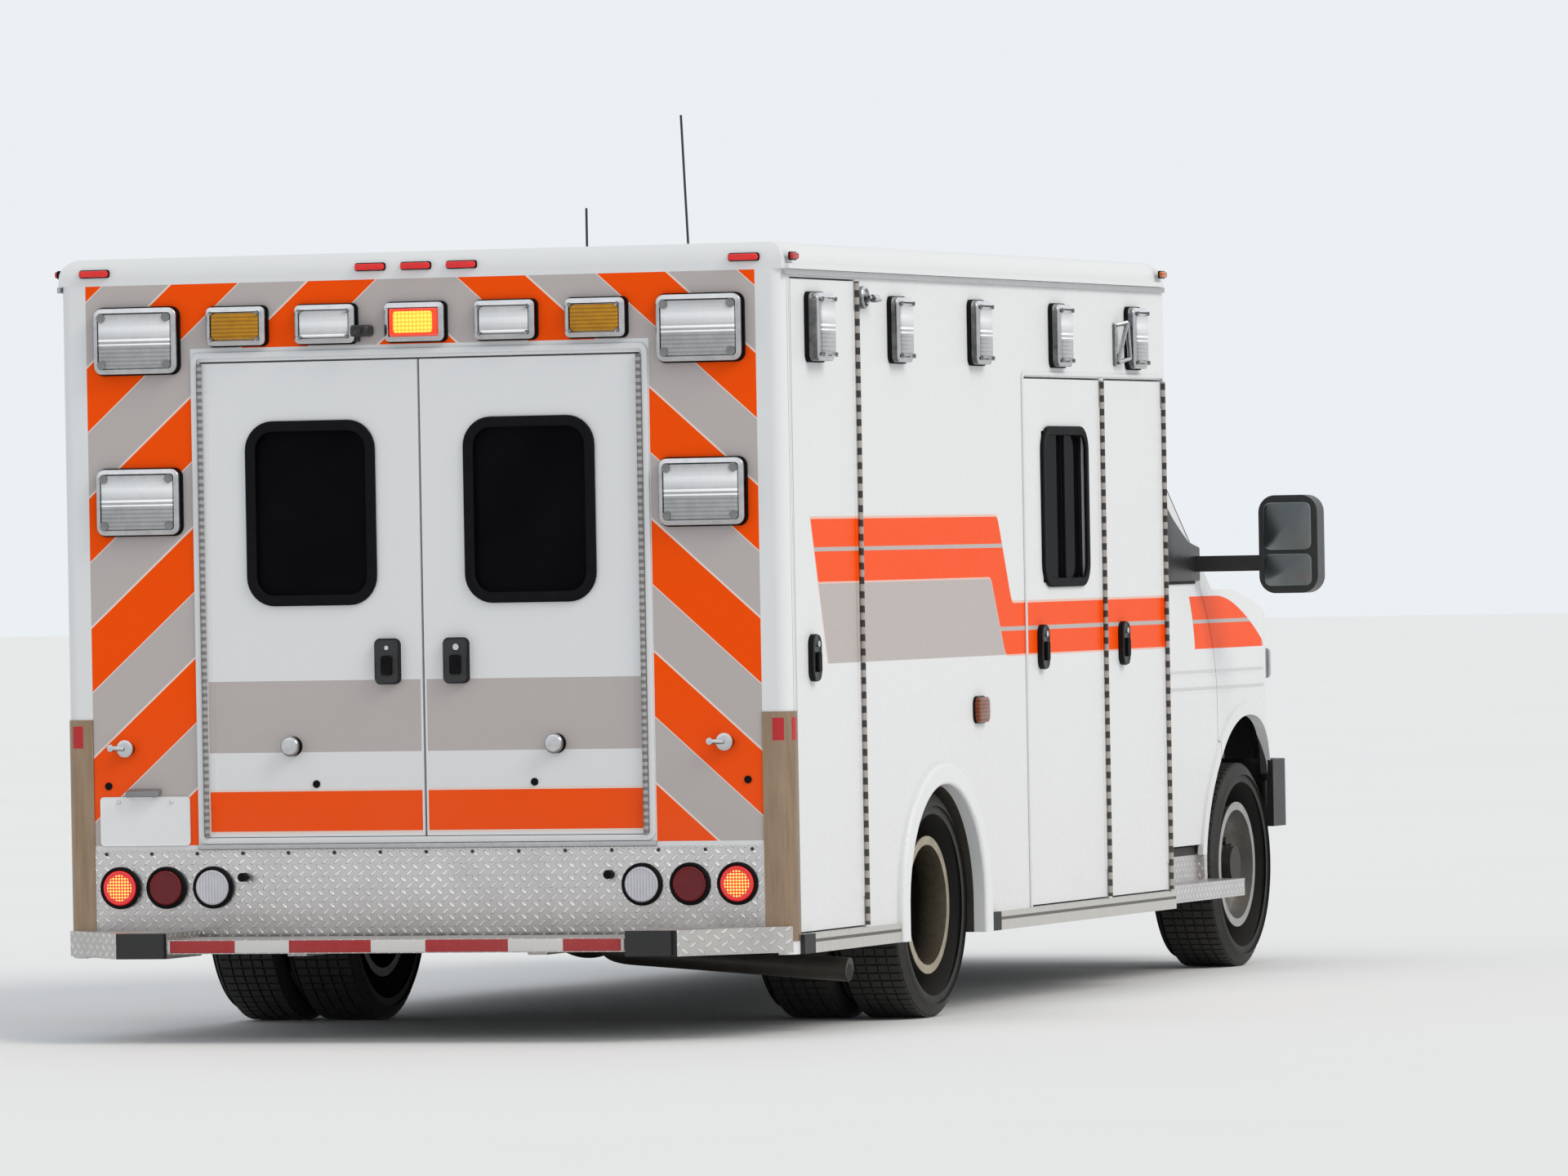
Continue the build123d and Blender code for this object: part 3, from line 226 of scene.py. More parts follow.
class Value:
    def __init__(self, finish, socket):
        self.finish = finish
        self.socket = socket

    def calc(self, operation, *others):
        return self.finish.node("Math", {"operation": operation}, dict(enumerate((self, *others))))

    def __rsub__(self, other):
        return self.finish.node("Math", {"operation": "SUBTRACT"}, {0: other, 1: self})

    __add__ = __radd__ = calculation("ADD")
    __sub__ = calculation("SUBTRACT")
    __mul__ = __rmul__ = __and__ = calculation("MULTIPLY")
    __truediv__ = calculation("DIVIDE")
    __lt__ = calculation("LESS_THAN")
    __gt__ = calculation("GREATER_THAN")
    __or__ = calculation("MAXIMUM")
    __abs__ = calculation("ABSOLUTE")

    def within(self, low, high):
        return (self > low) & (self < high)

    def inAny(self, stretches):
        found = self.within(*stretches[0])
        for low, high in stretches[1:]:
            found = found | self.within(low, high)
        return found

    def near(self, middle, reach):
        return abs(self - middle) < reach

    def limited(self, top=1.0):
        return self.calc("MAXIMUM", 0.0).calc("MINIMUM", top)

    def fraction(self):
        return self - self.calc("FLOOR")

    def wave(self, pitch):
        return (self * (2 * math.pi / pitch)).calc("SINE")

    def distance(self, other):
        return (self * self + other * other).calc("SQRT")


def colourOf(value):
    return (*value, 1) if isinstance(value, tuple) and len(value) == 3 else value


class Finish:
    def __init__(self, name, **constants):
        self.material = bpy.data.materials.new(name)
        self.material.use_nodes = True
        self.tree = self.material.node_tree
        self.shader = self.tree.nodes["Principled BSDF"]
        self.place = self.node("TexCoord", output="Object")
        self.x, self.y, self.z = self.split(self.place)
        self.set(**constants)

    def node(self, kind, settings=None, sockets=None, output=0):
        made = self.tree.nodes.new("ShaderNode" + kind)
        for key, value in (settings or {}).items():
            setattr(made, key, value)
        for key, value in (sockets or {}).items():
            socket = made.inputs[key]
            if isinstance(value, Value):
                self.tree.links.new(value.socket, socket)
            else:
                socket.default_value = colourOf(value) if socket.type == "RGBA" else value
        return Value(self, made.outputs[output])

    def set(self, **values):
        for name, value in values.items():
            socket = self.shader.inputs[name.replace("_", " ")]
            if isinstance(value, Value):
                self.tree.links.new(value.socket, socket)
            else:
                socket.default_value = colourOf(value)

    def finished(self, colour, roughness, height=None, distance=0.0, glow=0.0, **others):
        self.set(Base_Color=colour, Roughness=roughness, **others)
        if glow:
            self.set(Emission_Color=colour, Emission_Strength=glow)
        if height is not None:
            sockets = {"Height": height, "Distance": distance, "Strength": 1.0}
            self.set(Normal=self.node("Bump", {}, sockets))

    def split(self, vector):
        node = self.node("SeparateXYZ", {}, {0: vector}).socket.node
        return [Value(self, socket) for socket in node.outputs]

    def normals(self):
        return self.split(self.node("NewGeometry", output="True Normal"))

    def noise(self, scale, detail=3.0, roughness=0.5, vector=None):
        sockets = {"Scale": scale, "Detail": detail, "Roughness": roughness}
        return self.node("TexNoise", {}, {"Vector": vector or self.place, **sockets})

    def stretched(self, scale):
        return self.node("Mapping", {}, {"Vector": self.place, "Scale": scale})

    def mixed(self, factor, first, second):
        return self.node("Mix", {"data_type": "RGBA"}, {0: factor, 6: first, 7: second}, output=2)

    def layered(self, colour, *layers):
        for mask, paint in layers:
            colour = self.mixed(mask, colour, paint)
        return colour


def plainFinish(
    name, colour, second, scale, roughness, spread, grain=0.0, metallic=0.0, stretch=None, **others
):
    # mottled colour and roughness with a fine grain
    finish = Finish(name, Metallic=metallic, **others)
    where = finish.stretched(stretch) if stretch else finish.place
    cloud = finish.noise(scale, 4.0, 0.6, where)
    fine = finish.noise(scale * 22, 2.0, 0.6, where) if grain else None
    shine = cloud * spread * 2 + (roughness - spread)
    finish.finished(finish.mixed(cloud, colour, second), shine, fine, grain)


stripe = {
    "orange": (1.0, 0.090, 0.003), "grey": (0.520, 0.475, 0.462), "white": (0.80, 0.81, 0.82),
    "sideEdge": (0.86, 0.55, 0.47), "rearEdge": (0.85, 0.72, 0.66), "film": (0.40, 0.37, 0.33),
}
sideStripes = {
    # height, knee, slope, and the lowest and highest that the line reaches
    "top": (1.345, -0.770, 2.073, 1.322, 1.605), "low": (1.363, -0.952, 1.836, 1.148, 1.402),
    "soft": 0.05, "edges": (0.004, 0.003, 0.006), "foot": 1.150,
    "rearEnd": {"x": -2.765, "z": 1.608, "lean": 0.326, "span": (1.148, 1.607)},
    # the thin lines: one behind the sweep, one ahead of it
    "lines": (((1.500, 1.513), -0.848), ((1.228, 1.242), -0.882)),
}
chevronForm = {
    "slope": 0.885, "shift": 1.672, "pitch": 0.4095, "wide": 0.5055, "edge": 0.010,
    "beside": (0.765, 1.117), "low": 0.612, "above": 2.17, "top": 2.374,
}
doorBands = {
    "across": (0.010, 0.722),
    "z": (((0.645, 0.786), "rearEdge"), ((0.653, 0.778), "orange"), ((0.900, 1.124), "grey")),
}
hingeForm = {
    "x": (-2.3075, 0.2145, 0.904), "barrel": 0.019, "joint": 0.010, "pitch": 0.045, "top": 2.345,
    "rearY": (0.7235, 0.7415), "rearZ": (0.63, 2.13), "fine": 0.022,
}
lockerBlock = {"x": (-2.79, -2.61), "z": (2.08, 2.315), "face": 0.0105}
handleBases = {
    "x": ((-2.815, -2.72), (-0.52, -0.415), (0.36, 0.465)), "z": (1.08, 1.26),
    "rearY": (0.03, 0.20), "rearZ": (1.05, 1.29),
}
ridgeForm = {"x": (-2.944, -2.926), "half": 0.0015, "z": (0.33, 2.355)}
frontCorner = {"x": 0.927, "guard": 1.03, "amber": (0.985, 1.055)}


def roadFilm(finish):
    # faint dirt, stronger low down
    return finish.noise(3.0, 5.0, 0.6) * (1.15 - finish.z).calc("MAXIMUM", 0.0) * 0.16


def bodyPaintFinish():
    finish = Finish("bodyPaint", Specular_IOR_Level=0.04)
    x, z = finish.x, finish.z
    across = abs(finish.y)
    # how far a point stands out of the side and rear skins
    outside, past = across - skin["side"], skin["rear"] - x

    def sweep(height, knee, slope, lowest, highest):
        line, soft = height - (x - knee) * slope, sideStripes["soft"]
        return line.calc("SMOOTH_MAX", lowest, soft).calc("SMOOTH_MIN", highest, soft)

    # side stripes: high at the rear, sweeping down ahead of the wheel
    top, low = sweep(*sideStripes["top"]), sweep(*sideStripes["low"])
    end = sideStripes["rearEnd"]
    start = (end["z"] - z) * end["lean"] + end["x"]
    onSide = (outside > -0.0065) & (x > start)
    band = (z > low) & (z < top)
    (high, behind), (level, ahead) = sideStripes["lines"]
    line = (z.within(*high) & (x < behind)) | (z.within(*level) & (x > ahead))
    under = (z > sideStripes["foot"]) & (z < low)
    topEdge, lowEdge, rearEdge = sideStripes["edges"]
    rearEnd = ((x - start) < rearEdge) & z.within(*end["span"])
    edges = z.near(top, topEdge) | z.near(low, lowEdge) | rearEnd
    # chevrons and door bands behind
    onRear = (past > -0.0015) & (z < chevronForm["top"])
    onDoor = onRear & across.within(*doorBands["across"])
    rising = z + across * chevronForm["slope"] - chevronForm["shift"]
    phase = (rising / chevronForm["pitch"]).fraction()
    wide, edge = chevronForm["wide"], chevronForm["edge"]
    chevron = finish.layered(
        stripe["grey"],
        (phase < wide, stripe["orange"]),
        ((phase < edge) | phase.near(wide, edge), stripe["rearEdge"]),
    )
    inner, outer = chevronForm["beside"]
    beside = across.within(inner, outer) & (z > chevronForm["low"])
    area = beside | ((z > chevronForm["above"]) & (across < outer))
    bands = [(onDoor & z.within(*heights), stripe[look]) for heights, look in doorBands["z"]]
    # hinge barrels outside the skins, with the joints between their knuckles
    hinges, gaps = (
        x.inAny([(first, first + hingeForm[width]) for first in hingeForm["x"]])
        for width in ("barrel", "joint")
    )
    barrel = (outside > 0.003) & (z < hingeForm["top"]) & hinges
    joints = (z / hingeForm["pitch"]).fraction() < 0.5
    rearHinge = across.within(*hingeForm["rearY"]) & z.within(*hingeForm["rearZ"])
    fine = (z / hingeForm["fine"]).fraction() < 0.5
    corner = (outside > -0.0165) & (x > frontCorner["x"])
    # painted shade: grey lines for the grooves of fine ridges at the rear corner; the bright lamp
    # block on the locker doors, black handle bases
    one, two = (x.near(middle, ridgeForm["half"]) for middle in ridgeForm["x"])
    ridgeShade = (one | two) & (across > 1.15) & z.within(*ridgeForm["z"])
    standing = outside > 0.002
    block = standing & x.within(*lockerBlock["x"]) & z.within(*lockerBlock["z"])
    blockFace = outside > lockerBlock["face"]
    base = standing & z.within(*handleBases["z"]) & x.inAny(handleBases["x"])
    rearBase = across.within(*handleBases["rearY"]) & z.within(*handleBases["rearZ"])
    colour = finish.layered(
        stripe["white"],
        (onSide & band, stripe["orange"]),
        (onSide & (under | (band & line)), stripe["grey"]),
        (onSide & edges, stripe["sideEdge"]),
        (onRear & area, chevron),
        *bands,
        (barrel, (0.42, 0.39, 0.36)),
        (barrel & joints & gaps, (0.060, 0.056, 0.052)),
        ((past > 0.0035) & rearHinge, finish.mixed(fine, (0.42, 0.42, 0.42), (0.21, 0.20, 0.20))),
        (corner & (z < frontCorner["guard"]), (0.30, 0.21, 0.145)),
        (corner & z.within(*frontCorner["amber"]), (0.55, 0.13, 0.012)),
        (ridgeShade, (0.30, 0.30, 0.31)),
        (block, finish.mixed(blockFace, (0.015, 0.015, 0.016), (0.70, 0.70, 0.71))),
        (base | ((past > 0.0015) & rearBase), (0.012, 0.012, 0.013)),
        (roadFilm(finish), stripe["film"]),
    )
    shine = finish.noise(11.0) * 0.10 + 0.22 - block * 0.12
    finish.finished(colour, shine, finish.noise(1.2, 0.0), 0.0004, Metallic=block & blockFace)


cabStripe = {
    "z": (1.130, 1.314), "line": (1.219, 1.232), "inner": 0.72, "start": 1.9467, "lean": 0.328,
    "fallFrom": 2.33, "fall": 0.84, "creases": (1.045, 0.986),
}


def cabPaintFinish():
    finish = Finish("cabPaint", Specular_IOR_Level=0.04)
    x, z = finish.x, finish.z
    across = abs(finish.y)
    # the stripe starts at a lean behind and falls away towards the lamps
    low, high = cabStripe["z"]
    fall = (x - cabStripe["fallFrom"]).calc("MAXIMUM", 0.0)
    top = high - fall * fall * cabStripe["fall"]
    start = (z - low) * cabStripe["lean"] + cabStripe["start"]
    band = (across > cabStripe["inner"]) & (z > low) & (z < top) & (x > start)
    # inward faces and undersides are painted dark: partly the real lining, partly painted shade
    # under and inside the cab
    nx, ny, nz = finish.normals()
    turnedIn = (ny * finish.y < -0.02) | (nz < -0.5)
    inner = turnedIn & (x > 1.03) & ((across < 0.965) | (x < 2.17))
    film = roadFilm(finish)
    colour = finish.layered(
        stripe["white"],
        (band, stripe["orange"]),
        (band & z.within(*cabStripe["line"]), stripe["grey"]),
        (inner, (0.060, 0.060, 0.063)),
        (film, stripe["film"]),
    )
    # two soft creases along the doors
    upper, lower = [abs(z - height).calc("MINIMUM", 0.012) for height in cabStripe["creases"]]
    creases = (upper + lower) * ((across > 0.85) & (x < 2.80))
    finish.finished(colour, finish.noise(11.0) * 0.12 + film * 0.8 + 0.20, creases, 0.5)


def treadPlateFinish(name, colour, second, pads=False):
    # raised lozenges, each turned a quarter from its neighbours
    finish = Finish(name, Metallic=1.0)
    cloud = finish.noise(7.0, 4.0, 0.6)
    onEnd, onSide, onTop = [abs(way) > 0.7 for way in finish.normals()]
    u = finish.x * (1 - onEnd) + finish.y * onEnd
    v = finish.z * (1 - onTop) + finish.y * onTop
    pitch = 0.040
    p, q = (u + v) / pitch, (u - v) / pitch
    odd = (p.calc("FLOOR") + q.calc("FLOOR")).calc("PINGPONG", 1.0)
    p, q = p.fraction() - 0.5, q.fraction() - 0.5
    long = p * odd + q * (1 - odd)
    short = q * odd + p * (1 - odd)
    far = (long / 0.42).calc("POWER", 2.0) + (short / 0.15).calc("POWER", 2.0)
    raised = (1.15 - far).limited(0.4)
    # painted highlight: the raised lozenges are painted lighter than the plate between them
    metal = finish.mixed(raised * 2.2 * cloud + cloud * 0.45, second, colour)
    if pads:
        # the black rubber pads at the corners of the step
        pad = finish.x < -3.2797
        metal = finish.mixed(pad, metal, (0.012, 0.012, 0.012))
        finish.set(Metallic=1 - pad)
        raised = raised * (1 - pad)
    finish.finished(metal, cloud * 0.25 + 0.26 - raised * 0.2, raised, 0.005)


def lensFinish(name, colour, second, ribs, pitch, glow=0.0):
    # moulded lens with fine ribs and a mottled tone
    finish = Finish(name, Coat_Weight=0.25, Coat_Roughness=0.04, Specular_IOR_Level=0.2)
    wave = getattr(finish, ribs).wave(pitch)
    cloud = finish.noise(30.0, 3.0, 0.6)
    if glow:
        finish.set(Emission_Color=finish.mixed(cloud, colour, second), Emission_Strength=glow)
    shade = finish.mixed(wave * 0.25 + cloud * 0.5 + 0.05, colour, second)
    finish.finished(shade, cloud * 0.1 + 0.08, wave, 0.0006)


lampRows = {"low": 1.692, "between": 1.95, "rise": 0.506}


def lampLensFinish(name, ribs):
    # clear lens: a painted reflection of a bright bowl above, a double line of painted highlight at
    # half height, fine rows below
    finish = Finish(name, Coat_Weight=0.5)
    up = finish.z - ((finish.z > lampRows["between"]) * lampRows["rise"] + lampRows["low"])
    cloud = finish.noise(26.0, 4.0, 0.7)
    wave = getattr(finish, ribs).wave(0.006) * 0.5 + 0.5
    rows = up.wave(0.013) * 0.5 + 0.5
    bowl = (1 - abs(up - 0.040) * 22.0).calc("MAXIMUM", 0.0)
    colour = finish.layered(
        finish.mixed(wave * 0.3 + cloud * 0.6, (0.19, 0.195, 0.20), (0.56, 0.57, 0.58)),
        (rows * 0.55 & (up < -0.014), (0.16, 0.165, 0.17)),
        (bowl * 0.8, (0.90, 0.91, 0.93)),
        (up.near(0.004, 0.0035) | up.near(-0.010, 0.0025), (0.98, 0.98, 0.99)),
    )
    # the faint glow is painted light, not a lit lamp
    finish.finished(colour, cloud * 0.12 + 0.08, wave + rows, 0.0006, 0.12)


def glassFinish(name, colour, alpha, gloss=0.25):
    finish = Finish(name, IOR=1.5, Specular_IOR_Level=gloss)
    cloud = finish.noise(4.0)
    shade = finish.mixed(cloud, colour, tuple(c * 1.7 + 0.004 for c in colour))
    finish.finished(shade, cloud * 0.05 + 0.02, Alpha=cloud * 0.06 + (alpha - 0.03))


def guardFinish():
    # warm scuffed metal on the rear corners, bright rails with black end caps along the skirts, and
    # a dark line of painted shade in the rails' crease
    finish = Finish("guardMetal")
    x, z = finish.x, finish.z
    across = abs(finish.y)
    cloud = finish.noise(9.0, 5.0, 0.65, finish.stretched((6.0, 6.0, 0.5)))
    rail = finish.mixed(cloud, (0.52, 0.50, 0.46), (0.72, 0.70, 0.66))
    cap = x.inAny(((-2.9235, -2.82), (-1.0705, -0.97))) & (z < 0.33)
    markBehind = across.within(1.150, 1.187) & (x < -2.96)
    markBeside = x.within(-2.965, -2.935) & (across > 1.19)
    mark = z.within(0.920, 0.990) & (markBehind | markBeside)
    colour = finish.layered(
        finish.mixed(cloud, (0.20, 0.135, 0.085), (0.46, 0.34, 0.235)),
        # the dark line near z 0.296 is painted shade in the rail's crease
        (x > -2.9237, finish.mixed(z.near(0.296, 0.005), rail, (0.13, 0.12, 0.11))),
        (cap, (0.013, 0.013, 0.013)),
        (mark, (0.50, 0.010, 0.015)),
    )
    finish.set(Metallic=(1 - cap) * (1 - mark) * 0.85)
    finish.finished(colour, cloud * 0.25 + 0.25 + cap * 0.2, cloud, 0.0006)


def archFinish():
    # white flare outside, dark lining inside, and wells lined like the floor inside the box
    finish = Finish("archPaint", Specular_IOR_Level=0.28)
    inside = (abs(finish.y) < 1.185) * 1.0
    mud = finish.noise(9.0, 5.0, 0.7)
    nx, ny, nz = finish.normals()
    x, z = finish.x - wheels["rear"], finish.z - wheels["radius"]
    outward = nx * x + nz * z > 0.02
    lined = (outward | (ny * finish.y < -0.02)) & inside
    colour = finish.layered(
        stripe["white"],
        (inside, finish.mixed(mud, (0.020, 0.018, 0.016), (0.085, 0.075, 0.062))),
        (lined, finish.mixed(mud, (0.25, 0.255, 0.26), (0.32, 0.325, 0.33))),
    )
    finish.finished(colour, mud * 0.2 + 0.2 + inside * 0.4, mud, 0.0010)


def rimFinish(name, axle, dark, bright, deep):
    # bright outer part turning darker brown towards the middle, dark hub and nuts
    finish = Finish(name)
    far = (finish.x - axle).distance(finish.z - wheels["radius"])
    dirt = finish.noise(18.0, 5.0, 0.7)
    inner = ((deep - far) * 14.0 + dirt * 0.9).limited()
    centre = far < 0.100
    faded = tuple(c * 0.6 for c in bright)
    colour = finish.mixed(inner, finish.mixed(dirt, bright, faded), dark)
    if axle < 0:
        # painted shade: the deep barrel is painted darker away from its lip
        depth = ((1.165 - abs(finish.y)) * 9.0 + dirt * 0.5 - 0.2).limited()
        colour = finish.mixed(depth, colour, (0.040, 0.034, 0.028))
    iron = finish.mixed(dirt, (0.012, 0.011, 0.010), (0.060, 0.050, 0.042))
    finish.set(Metallic=(1 - centre * 0.7) * 0.9)
    shine = dirt * 0.3 + 0.26 + centre * 0.15
    finish.finished(finish.mixed(centre, colour, iron), shine, dirt, 0.0008)


def frontBumperFinish():
    # bright bar with a black upper pad and ends
    finish = Finish("frontBumper")
    cloud = finish.noise(8.0, 4.0, 0.6)
    black = (finish.z > 0.640) | (abs(finish.y) > 0.90) | (finish.x < 3.13)
    bright = finish.mixed(cloud, (0.62, 0.62, 0.63), (0.44, 0.44, 0.45))
    colour = finish.mixed(black, bright, (0.016, 0.016, 0.017))
    finish.finished(colour, cloud * 0.12 + 0.10 + black * 0.3, cloud, 0.0004, Metallic=1 - black)


def cabTubFinish():
    # grey vinyl inside, dark underseal below and in front
    finish = Finish("cabTub")
    below = (finish.z < 0.565) | (finish.x > 2.125)
    cloud = finish.noise(40.0, 4.0, 0.6)
    vinyl = finish.mixed(cloud, (0.12, 0.12, 0.125), (0.18, 0.18, 0.185))
    dark = finish.mixed(cloud, (0.016, 0.015, 0.014), (0.05, 0.045, 0.04))
    finish.finished(finish.mixed(below, vinyl, dark), cloud * 0.2 + 0.55, cloud, 0.0008)


def headlampFinish():
    # silver bowl behind fine ribs, amber where the lamp wraps round the corner
    finish = Finish("headlampBody", Coat_Weight=0.3)
    cloud = finish.noise(14.0)
    ribs = finish.y.wave(0.012) * 0.5 + 0.5
    silver = finish.mixed(ribs * 0.4 + cloud * 0.6, (0.16, 0.165, 0.17), (0.52, 0.53, 0.55))
    amber = finish.mixed(ribs * 0.3 + cloud * 0.5, (0.50, 0.13, 0.006), (0.85, 0.30, 0.03))
    side = abs(finish.y) > 0.895
    finish.set(Metallic=(1 - side) * 0.6)
    finish.finished(finish.mixed(side, silver, amber), cloud * 0.1 + 0.14, ribs, 0.0005)


def dotsOf(u, v):
    # how far a point is from the middle of its square cell
    return (u.fraction() - 0.5).distance(v.fraction() - 0.5)


def litTailFinish():
    # red lens with rows of bright yellow points in its middle
    finish = Finish("litTailLens", Coat_Weight=0.6)
    across, up = abs(finish.y) - tailLamp["lit"], finish.z - tailLamp["z"]
    far = across.distance(up)
    cells = dotsOf(across / tailLamp["dots"] + 0.5, up / tailLamp["dots"] + 0.5)
    glowing = ((0.040 - far) * 45.0).limited()
    colour = finish.layered(
        finish.mixed(glowing, (0.50, 0.006, 0.008), (0.82, 0.035, 0.015)),
        ((cells < 0.34) & (far < 0.041), (1.0, 0.72, 0.12)),
    )
    finish.finished(colour, cells * 0.1 + 0.12, cells, 0.0008, 0.75)


def litCoreFinish():
    # the bright core of the lamp that is on: yellow and orange cells
    finish = Finish("litCore")
    cells = dotsOf(finish.y / 0.0125, finish.z / 0.0125)
    colour = finish.mixed(cells * 1.5 - 0.1, (1.0, 0.70, 0.07), (0.95, 0.24, 0.02))
    finish.finished(colour, cells * 0.1 + 0.12, cells, 0.0008, 0.85)


def brightMetalFinish(name, outward):
    # polished metal with painted reflection: lighter where it faces outward or up, darker at its
    # turned edges
    finish = Finish(name, Metallic=1.0)
    ways = finish.normals()
    front = abs(ways["xy".index(outward)])
    cloud = finish.noise(30.0, 3.0, 0.6)
    paintedReflection = front * front * 0.55 + ways[2].calc("MAXIMUM", 0.0) * 0.75 + cloud * 0.35 - 0.05
    colour = finish.mixed(paintedReflection.limited(), (0.035, 0.036, 0.040), (0.86, 0.86, 0.87))
    finish.finished(colour, cloud * 0.08 + 0.10, cloud, 0.0003)


exhaustTip = {"x": -2.440, "z": 0.178, "bore": 0.031, "end": -1.19}


def exhaustFinish():
    # steel painted very dark, partly soot and partly painted shade under the bumper, with the mouth
    # of the tip painted dark: soot and painted shade inside the bore
    finish = Finish("exhaustSteel")
    sootAndShade = finish.noise(12.0, 4.0, 0.6)
    far = (finish.x - exhaustTip["x"]).distance(finish.z - exhaustTip["z"])
    mouth = (far < exhaustTip["bore"]) & (finish.y < exhaustTip["end"])
    steel = finish.mixed(sootAndShade, (0.026, 0.022, 0.019), (0.070, 0.060, 0.052))
    colour = finish.mixed(mouth, steel, (0.004, 0.004, 0.004))
    shine = sootAndShade * 0.2 + 0.36 + mouth * 0.3
    finish.finished(colour, shine, sootAndShade, 0.0006, Metallic=(1 - mouth) * 0.7)


def stepEdgeFinish():
    # alternating red and white strips, worn
    finish = Finish("stepEdge", Specular_IOR_Level=0.15)
    phase = ((finish.y - 0.0767) / 0.4535).fraction()
    wear = finish.noise(40.0, 4.0, 0.7)
    cells = (finish.noise(2.0, 1.0) + wear) * 0.5
    red = (phase < 0.602) & (abs(finish.y) < 0.748)
    colour = finish.mixed(red, (0.74, 0.73, 0.72), (0.42, 0.008, 0.014))
    colour = finish.mixed(cells * 0.35, colour, (0.30, 0.27, 0.25))
    finish.finished(colour, wear * 0.3 + 0.25, wear, 0.0005)


def tyreFinish():
    finish = Finish("tyreRubber")
    cloud = finish.noise(20.0, 4.0, 0.6)
    dust = finish.noise(4.0, 4.0, 0.7) * 0.6
    colour = finish.mixed(dust, (0.012, 0.012, 0.012), (0.055, 0.050, 0.045))
    height = cloud + finish.noise(300.0, 2.0) * 0.3
    finish.finished(colour, cloud * 0.16 + 0.62, height, 0.0006)


bodyPaintFinish()
cabPaintFinish()
guardFinish()
archFinish()
rimFinish("frontRim", wheels["front"], (0.16, 0.13, 0.10), (0.52, 0.51, 0.49), 0.165)
rimFinish("rearRim", wheels["rear"], (0.045, 0.033, 0.024), (0.62, 0.54, 0.40), 0.160)
frontBumperFinish()
cabTubFinish()
headlampFinish()
exhaustFinish()
litTailFinish()
litCoreFinish()
stepEdgeFinish()
tyreFinish()
treadPlateFinish("treadPlate", (0.92, 0.90, 0.88), (0.50, 0.475, 0.47))
treadPlateFinish("bumperTread", (0.80, 0.78, 0.75), (0.40, 0.385, 0.37), True)
brightMetalFinish("brightMetalSide", "y")
brightMetalFinish("brightMetalRear", "x")
lampLensFinish("clearLensSide", "x")
lampLensFinish("clearLensRear", "y")
glassFinish("darkGlass", (0.002, 0.002, 0.003), 0.97, 0.012)
glassFinish("cabGlass", (0.010, 0.012, 0.013), 0.82)
glassFinish("screenGlass", (0.016, 0.021, 0.021), 0.48)
# two colours, axis that the ribs cross, their pitch, glow
lensLooks = {
    "darkRedLens": ((0.12, 0.003, 0.005), (0.26, 0.008, 0.012), "y", 0.006),
    "headlampGlass": ((0.24, 0.25, 0.26), (0.62, 0.63, 0.65), "y", 0.014),
    # the clear round tail lens is not lit: its faint glow is painted light
    "clearRoundLens": ((0.46, 0.46, 0.50), (0.70, 0.70, 0.74), "y", 0.010, 0.10),
    "amberLens": ((0.42, 0.085, 0.004), (0.80, 0.26, 0.02), "z", 0.010),
    "amberDarkLens": ((0.12, 0.022, 0.003), (0.36, 0.080, 0.008), "z", 0.012),
    "amberFinLens": ((0.34, 0.140, 0.000), (0.74, 0.36, 0.004), "z", 0.012),
    "redLens": ((0.56, 0.010, 0.012), (0.86, 0.045, 0.040), "y", 0.006, 0.25),
    "redLensSide": ((0.42, 0.006, 0.005), (0.70, 0.030, 0.018), "x", 0.006),
    "redLensLit": ((0.75, 0.02, 0.01), (0.95, 0.10, 0.03), "y", 0.006, 0.7),
}
